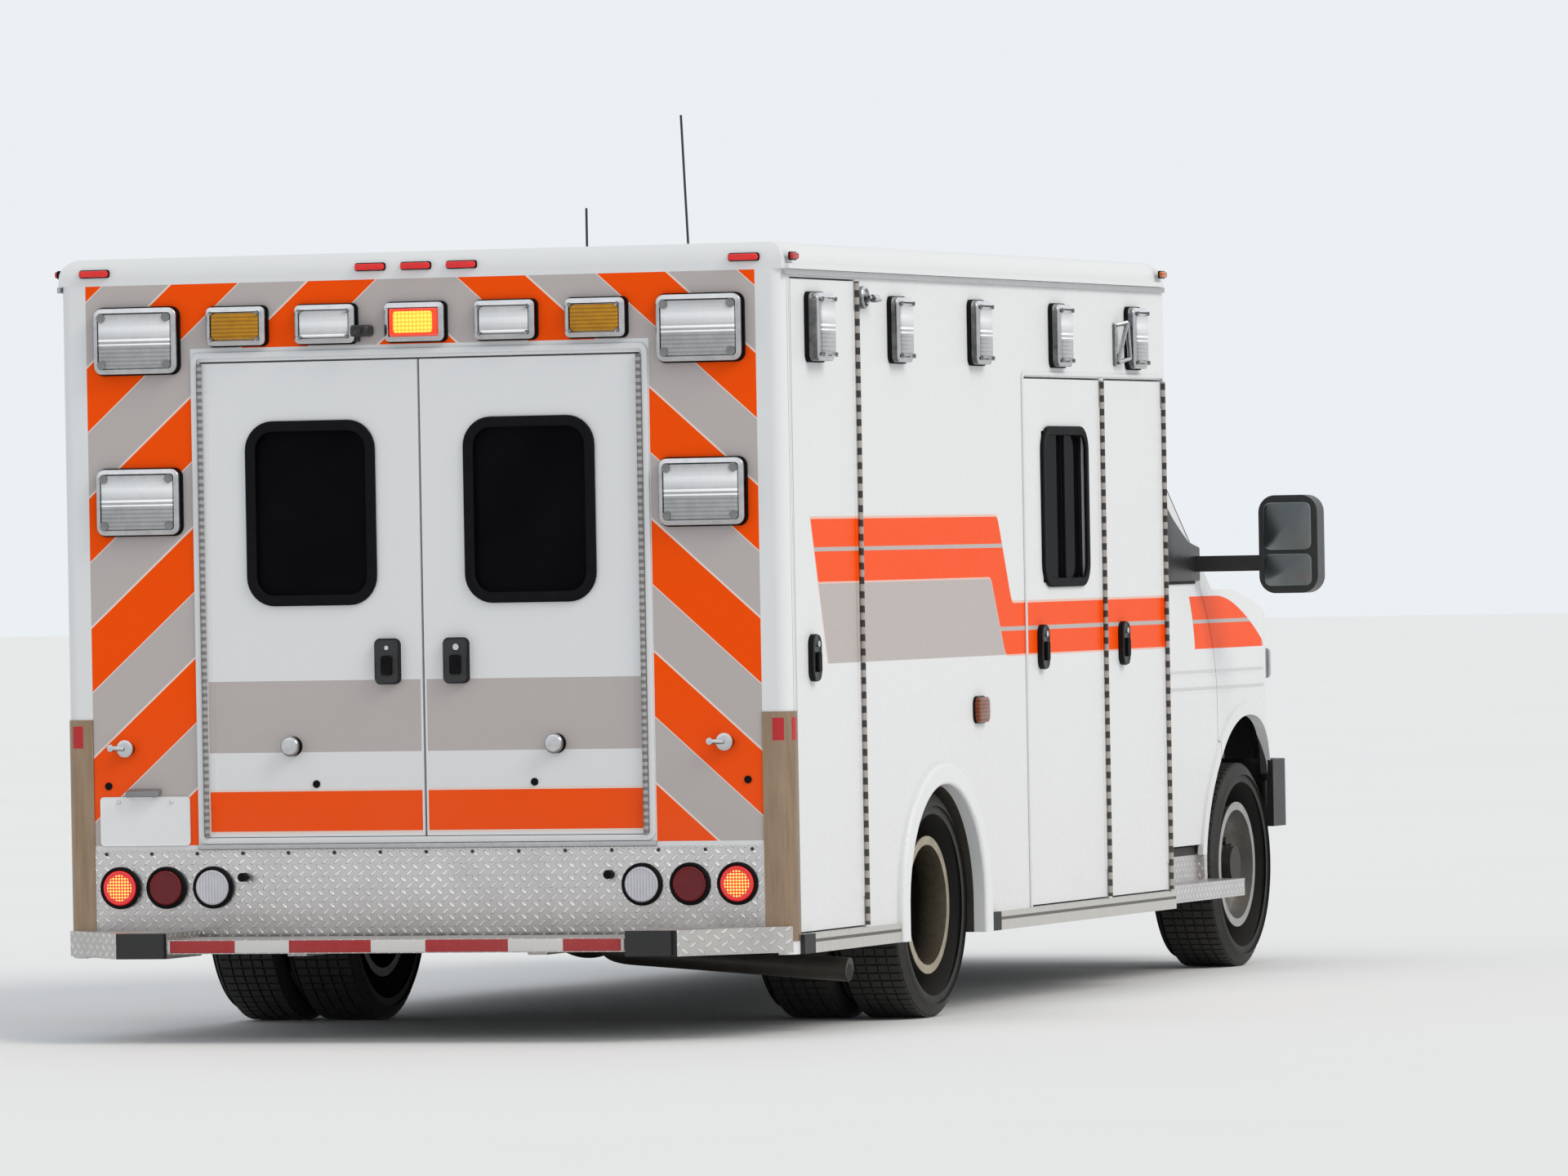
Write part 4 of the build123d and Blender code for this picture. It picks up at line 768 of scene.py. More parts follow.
# two colours, scale of the mottling, roughness and its spread, grain, metallic
plainLooks = {
    "chrome": ((0.72, 0.72, 0.73), (0.55, 0.55, 0.56), 9.0, 0.10, 0.05, 0.0, 1.0),
    "frameWhite": ((0.80, 0.81, 0.82), (0.70, 0.71, 0.72), 8.0, 0.28, 0.06, 0.0002),
    "paleTrim": ((0.50, 0.50, 0.51), (0.40, 0.40, 0.41), 14.0, 0.38, 0.08, 0.0003, 0.4),
    "hubIron": ((0.030, 0.028, 0.026), (0.075, 0.06, 0.05), 26.0, 0.55, 0.10, 0.0004, 0.5),
    "blackPlastic": ((0.014, 0.014, 0.015), (0.026, 0.026, 0.027), 60.0, 0.38, 0.08, 0.0002),
    "undercoat": ((0.018, 0.017, 0.016), (0.060, 0.052, 0.044), 14.0, 0.72, 0.12, 0.0012),
    "castIron": ((0.040, 0.036, 0.033), (0.10, 0.075, 0.055), 22.0, 0.66, 0.14, 0.0010, 0.4),
    "fittingMetal": ((0.30, 0.30, 0.31), (0.16, 0.155, 0.15), 30.0, 0.24, 0.10, 0.0003, 0.9),
    "tankPlastic": ((0.022, 0.022, 0.024), (0.045, 0.043, 0.040), 11.0, 0.5, 0.1, 0.0006),
    "cabLining": ((0.13, 0.13, 0.135), (0.18, 0.18, 0.185), 48.0, 0.62, 0.08, 0.0006),
    "vinylFloor": ((0.22, 0.23, 0.235), (0.34, 0.35, 0.355), 70.0, 0.45, 0.08, 0.0003),
    "lockerLining": ((0.46, 0.46, 0.47), (0.58, 0.58, 0.59), 18.0, 0.42, 0.08, 0.0004, 0.3),
    "mirrorGlass": ((0.26, 0.285, 0.29), (0.16, 0.18, 0.18), 5.0, 0.20, 0.04, 0.0, 1.0),
    "bowl": ((0.85, 0.86, 0.88), (0.62, 0.63, 0.65), 20.0, 0.12, 0.05, 0.0, 0.9),
    "blankPlate": ((0.88, 0.885, 0.89), (0.80, 0.81, 0.82), 12.0, 0.36, 0.06, 0.0003),
    "greyTrim": ((0.30, 0.30, 0.31), (0.22, 0.22, 0.225), 20.0, 0.45, 0.08, 0.0003, 0.5),
    "railMetal": ((0.58, 0.58, 0.58), (0.40, 0.40, 0.41), 5.0, 0.30, 0.10, 0.0004, 1.0, (0.3, 9, 9)),
    "paleFloor": ((0.86, 0.86, 0.86), (0.90, 0.90, 0.90), 0.3, 0.9, 0.03),
}
for name, look in lensLooks.items():
    lensFinish(name, *look)
for name, look in plainLooks.items():
    plainFinish(name, *look)
rubberLook = ((0.004, 0.004, 0.005), (0.011, 0.011, 0.012), 34.0, 0.55, 0.10, 0.0003)
clothLook = ((0.085, 0.09, 0.10), (0.15, 0.155, 0.165), 120.0, 0.85, 0.06, 0.0009)
plainFinish("blackRubber", *rubberLook, Specular_IOR_Level=0.06)
plainFinish("seatCloth", *clothLook, Sheen_Weight=0.4)
print("finishes made")

# the CAD's nodes, named without their side where there are two
nodeLooks = {
    "bodyPaint": "left_wall right_wall rear_wall front_wall box_roof rear_door "
                 "rear_locker_door front_locker_door side_entry_door",
    "cabPaint": "cab_door cab_pillars cab_roof front_fenders hood",
    "treadPlate": "cab_steps",
    "bumperTread": "rear_bumper",
    "frontBumper": "front_bumper",
    "guardMetal": "body_guards",
    "archPaint": "wheel_arches",
    "frontRim": "front_rim",
    "rearRim": "rear_rims",
    "castIron": "front_axle rear_axle driveline knuckle",
    "undercoat": "frame_rails crossmembers",
    "exhaustSteel": "exhaust",
    "tankPlastic": "fuel_tank",
    "vinylFloor": "box_floor",
    "lockerLining": "compartments",
    "darkGlass": "rear_glass side_entry_glass",
    "cabGlass": "cab_glass",
    "screenGlass": "windshield",
    "blackPlastic": "mirror antennas grille",
    "cabTub": "cab_tub",
    "cabLining": "dashboard",
    "blackRubber": "front_tyre rear_tyres",
    "seatCloth": "cab_seats",
    "headlampBody": "headlamps",
    "clearLensRear": "lamps",
}
lookOf = {name: look for look, names in nodeLooks.items() for name in names.split()}
for name, node in nodes.items():
    dress(node, lookOf[name.replace("_left", "").replace("_right", "")])
print("nodes dressed")

# warning lamps: rubber gasket, tapered bright bezel, ribbed lens and corner screws
flasherForm = {
    "gasket": 0.012, "back": 0.006, "bezel": 0.017, "edge": 0.004, "smallest": 0.006, "wide": 0.22,
    "screw": {"large": 0.014, "small": 0.007}, "inside": {"large": 0.034, "small": 0.024},
}


def flasher(name, face, along, up, form, lens, body="chassis", screws=True):
    width, height, reach, corner = form
    edge, back = flasherForm["edge"], flasherForm["back"]
    rim = 2 * (flasherForm["bezel"] + back)
    gasket = slab(width, height, 0.0, flasherForm["gasket"], corner)
    steps = [(0.008, 0.004), (0.007, 0.004), (0.003, -0.008)]
    size = (width - 2 * edge, height - 2 * edge)
    bezel = slab(*size, back, reach * 0.72, corner - 0.003, steps=steps, soft=0.0015)
    inner = max(corner - rim * 0.3, flasherForm["smallest"])
    steps = [(0.006, 0.004)]
    front = reach * 0.90
    pane = slab(width - rim, height - rim, reach * 0.5, front, inner, 4, steps, 0.0015)
    metal = "brightMetalRear" if face == "rear" else "brightMetalSide"
    made = [(gasket, "gasket", "blackRubber"), (bezel, "bezel", metal), (pane, "lens", lens)]
    if screws:
        kind = "large" if width > flasherForm["wide"] else "small"
        x, z = (extent / 2 - flasherForm["inside"][kind] for extent in (width, height))
        radius = flasherForm["screw"][kind]
        heads = []
        for right, high in ((-x, -z), (-x, z), (x, -z), (x, z)):
            head = drumAt((right, -front - 0.004, high), "y", radius, 0.006, 16)
            heads.append(formed(head, steps=[(radius * 0.3, -0.002)]))
        made.append((joined(heads), "screws", "fittingMetal"))
    for piece, part, look in made:
        fitted(piece, f"{name}_{part}", look, face, along, up, body)
    return pane


sideLamps = {
    "x": (-1.8995, -1.0945, -0.2395, 0.5925), "form": (0.165, 0.214, 0.044, 0.026),
    "lockerX": -2.6985, "lockerForm": (0.171, 0.220, 0.057, 0.026), "z": 2.197,
}
# across, up, then width, height, reach and corner, and the lens
rearLamps = {
    "top": (0.940, 2.1985, (0.288, 0.2155, 0.040, 0.030), "clearLensRear"),
    "mid": (0.940, 1.692, (0.288, 0.2155, 0.040, 0.030), "clearLensRear"),
    "amber": (0.5995, 2.2375, (0.205, 0.129, 0.040, 0.020), "amberFinLens"),
    "clear": (0.300, 2.2375, (0.208, 0.129, 0.040, 0.020), "clearLensRear"),
}
centreLamp = (0, 2.2375, (0.206, 0.129, 0.040, 0.020), "redLensLit")
for s, face in sides:
    z, form = sideLamps["z"], sideLamps["form"]
    for number, x in enumerate(sideLamps["x"]):
        name = f"flasher_{face}_{number}"
        flasher(name, face, x, z, form, "clearLensSide")
    x, form = sideLamps["lockerX"], sideLamps["lockerForm"]
    flasher(f"flasher_{face}_locker", face, x, z, form, "clearLensSide", f"rear_locker_{face}")
    for kind, (y, *others) in rearLamps.items():
        flasher(f"rearFlasher_{face}_{kind}", "rear", s * y, *others)
flasher("rearFlasher_centre", "rear", *centreLamp, screws=False)
core = slab(0.132, 0.068, 0.030, 0.0405, 0.010, 4, soft=0.002)
fitted(core, "rearFlasher_centre_core", "litCore", "rear", *centreLamp[:2])
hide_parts("lamps")
print("warning lamps built")

# tail lamps in rubber grommets
tailLooks = {0.716: "clearRoundLens", 0.874: "darkRedLens", tailLamp["lit"]: "litTailLens"}
grommetSteps = [(0.007, 0.005), (0.004, -0.006)]
bowlSteps = [(0.006, 0.003), (0.026, 0.001), (0.002, -0.0015)]
for s, face in sides:
    for y, lens in tailLooks.items():
        radius, count = tailLamp["radius"], tailLamp["count"]
        grommet = disc(radius, 0.016, count, grommetSteps, 0.002)
        bowl = disc(radius - 0.0115, 0.018, count, bowlSteps, 0.0012, back=0.006)
        for piece, part, look in ((grommet, "grommet", "blackRubber"), (bowl, "lens", lens)):
            name = f"tailLamp_{face}_{round(y * 1000)}_{part}"
            fitted(piece, name, look, "rear", s * y, tailLamp["z"])
print("tail lamps built")

# window frames, door frames, sill and kick plate
for s, face in sides:
    seal = ringFrame(0.437, 0.580, 0.034, 0.092, 0.012, 8, 0.006, 3)
    name = f"rearWindowSeal_{face}"
    fitted(seal, name, "blackRubber", "rear", s * 0.365, 1.648, f"rear_door_{face}")
entrySeal = ringFrame(0.498, 0.532, 0.030, 0.080, 0.012, 8, 0.005, 3)
slider = soften(blockAt((0.005, -0.002, -0.240), (0.019, 0.010, 0.240)), 0.002)
entrySeal = joined([entrySeal, slider])
fitted(entrySeal, "entryWindowSeal", "blackRubber", "right", -0.1845, 1.632, "side_entry")

rearFrame = ringFrame(1.524, 1.542, 0.019, 0.028, 0.008, 4)
fitted(rearFrame, "rearDoorFrame", "frameWhite", "rear", 0, 1.386)
entryFrame = ringFrame(1.556, 1.774, 0.013, 0.022, 0.007, 4)
fitted(entryFrame, "entryFrame", "frameWhite", "right", 0.1535, 1.189)
sillPlate = slab(1.530, 0.016, 0.0, 0.010, soft=0.003)
fitted(sillPlate, "rearSill", "railMetal", "rear", 0, 0.606)

kick = {"half": 1.118, "low": 0.304, "high": 0.597, "boltZ": 0.586, "bolts": 15, "margin": 0.04}
low, high = (-kick["half"], -0.003, kick["low"]), (kick["half"], 0.0, kick["high"])
fitted(soften(blockAt(low, high), 0.0012), "kickPlate", "treadPlate", "rear", 0, 0)
first = kick["margin"] - kick["half"]
pitch = -2 * first / (kick["bolts"] - 1)
heads = [
    drumAt((first + number * pitch, -0.004, kick["boltZ"]), "y", 0.006, 0.005, 10)
    for number in range(kick["bolts"])
]
fitted(soften(joined(heads), 0.0012, 1), "kickBolts", "hubIron", "rear", 0, 0)
print("frames and plates built")

# handles: a dished black plate with its lever, and a lock cylinder
handleForm = {
    "rear": (0.084, 0.144, 0.020), "side": (0.073, 0.148, 0.034), "base": 0.018, "edge": 0.002,
    "rearPlace": (0.1145, 1.181), "sideZ": 1.1705,
    "lockers": {"rear_locker": -2.771, "front_locker": 0.416}, "entry": -0.466,
}


def leverHandle(name, face, along, up, body, wideLock=True):
    width, height, corner = handleForm["rear" if face == "rear" else "side"]
    edge, base = handleForm["edge"], handleForm["base"]
    w, h = width / 2 - edge, height / 2 - edge
    steps = [(0.006, 0.0), (0.004, -0.005)]
    dish = slab(2 * w, 2 * h, base - 0.004, base + 0.006, corner - edge, 5, steps, 0.0012)
    lever = blockAt((-w * 0.42, -base - 0.014, -h * 0.62), (w * 0.42, -base - 0.002, h * 0.25))
    formed(lever, 0.008, 4, [(0.004, -0.0015)], 0.002)
    if wideLock:
        lock = drumAt((w * 0.1, -base - 0.004, h * 0.60), "y", 0.010, 0.010, 24)
    else:
        lock = drumAt((0, -base - 0.002, h * 0.60), "y", 0.007, 0.006, 24)
    formed(lock, steps=[(0.003, -0.001)], soft=0.001, fine=1)
    fitted(dish, f"{name}_dish", "blackPlastic", face, along, up, body)
    fitted(lever, f"{name}_lever", "blackRubber", face, along, up, body)
    fitted(lock, f"{name}_lock", "chrome", face, along, up, body)


for s, face in sides:
    y, z = handleForm["rearPlace"]
    leverHandle(f"rearHandle_{face}", "rear", s * y, z, f"rear_door_{face}", s < 0)
    for locker, x in handleForm["lockers"].items():
        leverHandle(f"{locker}Handle_{face}", face, x, handleForm["sideZ"], f"{locker}_{face}")
leverHandle("entryHandle", "right", handleForm["entry"], handleForm["sideZ"], "side_entry")
print("handles built")

# knobs, catches, plugs and stops on the rear
fitting = {
    "knob": (0.44, 0.919), "hook": (1.0, 0.918), "stop": (0.61, 0.511),
    "plugs": ((0.364, 0.80, "rear_door_"), (1.067, 0.80, None)),
}
knobSteps = [(0.009, 0.004), (0.002, 0.014), (-0.006, 0.006), (0.008, 0.006)]
for s, face in sides:
    door = f"rear_door_{face}"
    y, z = fitting["knob"]
    knob = disc(0.026, 0.010, 32, knobSteps, 0.0025)
    fitted(knob, f"doorKnob_{face}", "brightMetalRear", "rear", s * y, z, door)
    pad = disc(0.031, 0.006, 32, soft=0.002)
    fitted(pad, f"knobPad_{face}", "blackRubber", "rear", s * y, z, door)
    y, z = fitting["hook"]
    socketPlate = disc(0.024, 0.008, 32, [(0.008, 0.003), (0.004, 0.020)])
    arm = soften(rodBetween((0.0, -0.028, 0.0), (-0.042, -0.034, 0.002), 0.008), 0.002)
    tip = soften(drumAt((-0.044, -0.034, 0.002), "y", 0.012, 0.014, 20), 0.003)
    hook = joined([socketPlate, arm, tip])
    fitted(hook, f"doorCatch_{face}", "brightMetalRear", "rear", s * y, z)
    for number, (y, z, leaf) in enumerate(fitting["plugs"]):
        plug = disc(0.012, 0.004, 20, [(0.004, -0.002)])
        body = leaf + face if leaf else "chassis"
        fitted(plug, f"plug_{face}_{number}", "blackRubber", "rear", s * y, z, body)
    y, z = fitting["stop"]
    stop = disc(0.014, 0.028, 20, [(0.003, 0.0), (-0.006, 0.006)], 0.002, 1)
    fitted(stop, f"doorStop_{face}", "blackRubber", "rear", s * y, z)

# the blank plate with its screws and its lamp
sign = {"size": (0.304, 0.154), "middle": (0.943, 0.689), "screwX": (-0.089, 0.089), "screwZ": 0.060}
blank = slab(*sign["size"], 0.003, 0.006, 0.012, 4, [(0.007, 0.0), (0.003, -0.0012)])
screws = [drumAt((x, -0.007, sign["screwZ"]), "y", 0.006, 0.005, 12) for x in sign["screwX"]]
lampHood = blockAt((-0.055, -0.034, 0.083), (0.055, 0.0, 0.103))
chooseFaces(lampHood, lambda middle, normal: normal.y < -0.9)
bpy.ops.transform.translate(value=(0, 0, -0.008))
objectMode()
signLens = blockAt((-0.032, -0.028, 0.073), (0.032, -0.006, 0.086))
fitted(blank, "blankSign", "blankPlate", "rear", *sign["middle"])
fitted(soften(joined(screws), 0.001, 1), "signScrews", "chrome", "rear", *sign["middle"])
fitted(soften(lampHood, 0.004, 3), "signLampHood", "greyTrim", "rear", *sign["middle"])
fitted(soften(signLens, 0.002), "signLampLens", "bowl", "rear", *sign["middle"])

# the rear-view camera
camera = blockAt((-0.030, -0.050, -0.018), (0.030, 0.0, 0.019))
formed(camera, 0.012, 4, [(0.006, 0.006)], 0.002)
barrel = drumAt((0.0, -0.058, 0.001), "y", 0.013, 0.020, 24)
formed(barrel, steps=[(0.003, -0.004)], soft=0.001)
foot = soften(blockAt((-0.060, -0.016, -0.033), (-0.015, 0.0, -0.008)), 0.003)
fitted(joined([camera, barrel, foot]), "rearViewCamera", "blackPlastic", "rear", 0.175, 2.213)
print("rear fittings built")


# marker lamps along the roof edge and on the sides
def markerLamp(name, face, along, up, form, look, plane=None):
    width, height, reach = form
    pad = slab(width, height, 0.0, reach * 0.35, height * 0.3, 3)
    steps = [(height * 0.16, 0.002)]
    lens = slab(width - 0.006, height - 0.006, 0.001, reach, height * 0.28, 3, steps, 0.0015)
    fitted(pad, f"{name}_pad", "blackRubber", face, along, up, plane=plane)
    fitted(lens, f"{name}_lens", look, face, along, up, plane=plane)


marker = {
    "y": (-1.084, -0.1525, 0.0, 0.1525, 1.084), "roof": (0.102, 0.026, 0.016),
    "edge": (0.070, 0.026, 0.012), "side": (0.125, 0.088, 0.020), "roofEdge": 1.2195,
}
for number, y in enumerate(marker["y"]):
    markerLamp(f"roofMarker_{number}", "rear", y, 2.413, marker["roof"], "redLens")
for s, face in sides:
    edge, plane = marker["edge"], marker["roofEdge"]
    markerLamp(f"roofSideMarker_{face}", face, -2.925, 2.414, edge, "redLensSide", plane)
    markerLamp(f"frontSideMarker_{face}", face, 0.900, 2.417, edge, "amberLens", plane)
    markerLamp(f"sideMarker_{face}", face, -1.1225, 0.977, marker["side"], "amberDarkLens")
print("markers built")

# catches on the sides, and the gutters under the roof
gutter = {"ends": (-2.975, 0.945), "z": (2.356, 2.374), "reach": 0.012}
for s, face in sides:
    cup = disc(0.036, 0.024, 32, [(0.006, 0.006), (0.008, -0.008)], 0.002)
    rod = rodBetween((0.0, -0.036, 0.0), (-0.105 * s, -0.040, -0.006), 0.006)
    ball = soften(drumAt((-0.050 * s, -0.038, -0.003), "x", 0.013, 0.040, 16), 0.003)
    fitted(joined([cup, rod, ball]), f"roundCatch_{face}", "brightMetalSide", face, -2.262, 2.295)
    start, end = sorted(-s * x for x in gutter["ends"])
    strip = blockAt((start, -gutter["reach"], gutter["z"][0]), (end, 0.0, gutter["z"][1]))
    formed(strip, steps=[(0.005, -0.003)], soft=0.0015, fine=1)
    fitted(strip, f"gutter_{face}", "paleTrim", face, 0, 0)
plate = blockAt((-0.052, -0.010, -0.078), (-0.030, 0.0, 0.070))
formed(plate, 0.009, 3, [(0.004, 0.003)], 0.002)
foot, peak, corner = (-0.041, -0.016, -0.066), (-0.008, -0.040, 0.068), (0.034, -0.034, -0.052)
legs = [(foot, peak), (peak, corner), (corner, foot), ((-0.041, -0.010, 0.060), peak)]
bracket = joined([plate, *[rodBetween(start, end, 0.0075, 12) for start, end in legs]])
fitted(bracket, "triangleCatch", "brightMetalSide", "right", 0.432, 2.180)
print("side fittings built")

# step edge with alternating red and white strips
stepEdge = blockAt((-0.757, -0.296, 0.284), (0.757, -0.289, 0.322))
formed(stepEdge, steps=[(0.004, 0.001)], soft=0.0015)
fitted(stepEdge, "stepEdge", "stepEdge", "rear", 0, 0)
print("step built")

# tyres: ribs, blocks and sidewalls in place of the plain ones
tyreForm = {
    "half": 0.1115, "hole": 0.05, "blocks": 72, "gap": 0.003, "groove": 0.007,
    "cuts": (-0.055, -0.019, 0.019, 0.055),
    # shoulder, wall, a raised ring, bead and the way down to the rim
    "walls": [
        (0.026, 0.012), (0.040, 0.003), (0.004, 0.0012), (0.004, -0.0012), (0.036, -0.004),
        (0.022, -0.018),
    ],
    "frontY": 0.8735, "rearY": (0.805, 1.068),
}


def makeTyre():
    radius, groove = wheels["radius"], tyreForm["groove"]
    length = 2 * tyreForm["half"] - 0.030
    tyre = drumAt((0, 0, 0), "y", radius - groove, length, tyreForm["blocks"])
    for sign in (1, -1):
        stepped(tyre, tyreForm["walls"], "y", sign)

    def inHole(middle, normal):
        return abs(normal.y) > 0.9 and math.hypot(middle.x, middle.z) < tyreForm["hole"]

    def onTread(middle, normal):
        return abs(normal.y) < 0.3 and math.hypot(middle.x, middle.z) > radius - groove - 0.004

    chooseFaces(tyre, inHole)
    bpy.ops.mesh.bridge_edge_loops()
    for cut in tyreForm["cuts"]:
        chooseFaces(tyre, onTread)
        bpy.ops.mesh.bisect(plane_co=(0, cut, 0), plane_no=(0, 1, 0))
    chooseFaces(tyre, onTread)
    bpy.ops.mesh.inset(thickness=tyreForm["gap"], depth=0.0, use_individual=True)
    bpy.ops.mesh.extrude_region_shrink_fatten(TRANSFORM_OT_shrink_fatten={"value": groove * 0.97})
    objectMode()
    return shifted(tyre, (0, 0, radius))


def tyreCopy(x, y):
    twin = firstTyre.copy()
    twin.data = firstTyre.data.copy()
    bpy.context.scene.collection.objects.link(twin)
    return shifted(twin, (x, y, 0))


firstTyre = makeTyre()
for s, face in sides:
    front = tyreCopy(wheels["front"], s * tyreForm["frontY"])
    place(front, f"frontTyre_{face}", "tyreRubber", f"front_wheel_{face}")
    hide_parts(f"front_tyre_{face}")
    rear = joined([tyreCopy(wheels["rear"], s * y) for y in tyreForm["rearY"]])
    place(rear, f"rearTyres_{face}", "tyreRubber", f"rear_wheels_{face}")
    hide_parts(f"rear_tyres_{face}")
bpy.data.objects.remove(firstTyre)
print("tyres built")

# mirrors: two panes in each housing, and the black sail on the door
sailForm = {
    "x": (1.735, 1.84, 1.93, 2.02, 2.148), "z": (1.650, 1.588, 1.545, 1.506, 1.486),
    "low": 1.368, "y": (0.905, 0.9565),
}
mirrorForm = {"y": 1.305, "z": 1.492, "plane": 2.0655, "panes": ((-0.020, 0.146), (-0.146, -0.034))}
# black window trims on the cab doors, and their handles
doorTrim = {"x": (1.12, 2.10), "z": (1.358, 1.374), "y": (0.936, 0.953), "handle": (1.175, 1.075)}
for s, face in sides:
    door = f"cab_door_{face}"
    y, z, plane = s * mirrorForm["y"], mirrorForm["z"], mirrorForm["plane"]
    for number, (low, high) in enumerate(mirrorForm["panes"]):
        pane = blockAt((-0.086, -0.006, low), (0.086, -0.001, high))
        formed(pane, 0.022, 4, [(0.004, 0.001)], 0.0012)
        name = f"mirrorPane_{face}_{number}"
        fitted(pane, name, "mirrorGlass", "rear", y, z, door, plane)
    top = sailForm["z"][0]
    inner, outer = sailForm["y"]
    start, *between, end = sailForm["x"]
    sail = blockAt((start, s * inner, sailForm["low"]), (end, s * outer, top))
    for x in between:
        edit(sail, action="SELECT")
        bpy.ops.mesh.bisect(plane_co=(x, 0, 0), plane_no=(1, 0, 0))
    for x, z in zip((*between, end), sailForm["z"][1:]):
        chooseEdges(sail, lambda middle, run: middle.z > top - 0.001 and abs(middle.x - x) < 0.001)
        bpy.ops.transform.translate(value=(0, 0, z - top))
        objectMode()
    place(soften(sail, 0.005, 3), f"mirrorSail_{face}", "blackPlastic", door)
    (start, end), (low, high), (inner, outer) = (doorTrim[key] for key in ("x", "z", "y"))
    strip = soften(blockAt((start, s * inner, low), (end, s * outer, high)), 0.003)
    place(strip, f"beltSeal_{face}", "blackRubber", door)
    x, z = doorTrim["handle"]
    plate = blockAt((x - 0.02, s * 0.990, z - 0.032), (x + 0.15, s * 1.012, z + 0.032))
    formed(plate, 0.016, 4, [(0.009, -0.006)], 0.002, sign=s)
    grip = blockAt((x + 0.005, s * 1.004, z - 0.014), (x + 0.128, s * 1.016, z + 0.016))
    formed(grip, 0.010, 3, soft=0.003)
    place(joined([plate, grip]), f"cabHandle_{face}", "blackPlastic", door)
print("mirrors and door trims built")

# wipers on the windshield
wiperForm = {"pivots": (0.62, -0.08), "foot": (2.503, 1.362), "elbow": (2.425, -0.20, 1.430)}
arms = []
for y in wiperForm["pivots"]:
    foot = (wiperForm["foot"][0], y, wiperForm["foot"][1])
    x, away, z = wiperForm["elbow"]
    arm = rodBetween(foot, (x, y + away, z), 0.007)
    blade = rodBetween((x + 0.018, y + 0.05, z - 0.010), (x - 0.020, y - 0.52, z + 0.035), 0.006, 8)
    pivot = drumAt(foot, "z", 0.016, 0.018, 16)
    arms += [soften(arm, 0.002, 1), soften(blade, 0.002, 1), soften(pivot, 0.003, 1)]
place(joined(arms), "wipers", "blackPlastic")

# headlamp lenses, the grille's bright bars and the radiator behind them
for s, face in sides:
    cover = blockAt((3.222, s * 0.725, 1.008), (3.2425, s * 0.880, 1.118))
    formed(cover, 0.018, 4, [(0.012, 0.0015)], 0.003, axis="x", sign=1)
    place(cover, f"headlampCover_{face}", "headlampGlass")
grilleForm = {"x": (3.222, 3.2455), "half": 0.47, "z": (0.795, 0.9125, 1.030), "bar": 0.007}
half, bar = grilleForm["half"], grilleForm["bar"]
bottom, top = grilleForm["z"][0], grilleForm["z"][-1]
back, front = grilleForm["x"]
outlines = [(-half, half, z - bar, z + bar) for z in grilleForm["z"]]
outlines += [(y - bar, y + bar, bottom, top) for y in (-half, half)]
bars = []
for left, right, low, high in outlines:
    bars.append(blockAt((back, left, low), (front, right, high)))
    formed(bars[-1], steps=[(0.003, 0.001)], soft=0.002, axis="x", sign=1)
place(joined(bars), "grilleSurround", "chrome")
finForm = {"count": 14, "low": 0.738, "pitch": 0.019}
fins = [blockAt((3.120, -0.440, 0.705), (3.150, 0.440, 1.020))]
formed(fins[0], steps=[(0.022, -0.008)], axis="x", sign=1)
for number in range(finForm["count"]):
    z = finForm["low"] + number * finForm["pitch"]
    fins.append(blockAt((3.138, -0.415, z), (3.148, 0.415, z + 0.006)))
place(soften(joined(fins), 0.001, 1), "radiator", "castIron")
print("front trim built")

# seats: cushions and backs that swell like filled covers
seatForm = {
    "y": {"left": 0.400, "right": -0.400}, "half": 0.235, "corner": 0.045, "lean": 4,
    "channel": 0.135, "seam": 0.012, "depth": 0.05,
}
coverForm = {"voxel": 0.011, "pressure": 3.0, "swell": 0.014, "frames": 18}


def fillCover(pad):
    pad.data.remesh_voxel_size = coverForm["voxel"]
    only(pad)
    bpy.ops.object.voxel_remesh()
    before = [vertex.co.copy() for vertex in pad.data.vertices]
    cloth = pad.modifiers.new("filled cover", "CLOTH")
    cloth.settings.use_pressure = True
    cloth.settings.uniform_pressure_force = coverForm["pressure"]
    cloth.settings.effector_weights.gravity = 0
    cloth.settings.quality = 4
    for number in range(1, coverForm["frames"] + 1):
        bpy.context.scene.frame_set(number)
    only(pad)
    bpy.ops.object.modifier_apply(modifier=cloth.name)
    for vertex, start in zip(pad.data.vertices, before):
        move = vertex.co - start
        if move.length > coverForm["swell"]:
            vertex.co = start + move.normalized() * coverForm["swell"]
    bpy.context.scene.frame_set(1)


def seatPad(name, low, high, corner, lean=0.0, hinge=None, channels=()):
    pad = soften(blockAt(low, high), corner, 4)
    if lean:
        edit(pad, action="SELECT")
        bpy.ops.transform.rotate(value=lean, orient_axis="Y", center_override=hinge)
        objectMode()
    fillCover(pad)
    # sewn channels, pressed in after the cover has filled
    seam, depth = seatForm["seam"], seatForm["depth"]
    for vertex in pad.data.vertices:
        for along in channels:
            near = abs(vertex.co.y - along)
            if near < seam:
                middle = Vector(((low[0] + high[0]) / 2, vertex.co.y, vertex.co.z))
                vertex.co += (middle - vertex.co) * depth * (1 - near / seam)
    smooth = pad.modifiers.new("smooth cover", "SMOOTH")
    smooth.iterations = 2
    only(pad)
    bpy.ops.object.modifier_apply(modifier=smooth.name)
    place(pad, name, "seatCloth", smooth=60)
    return pad


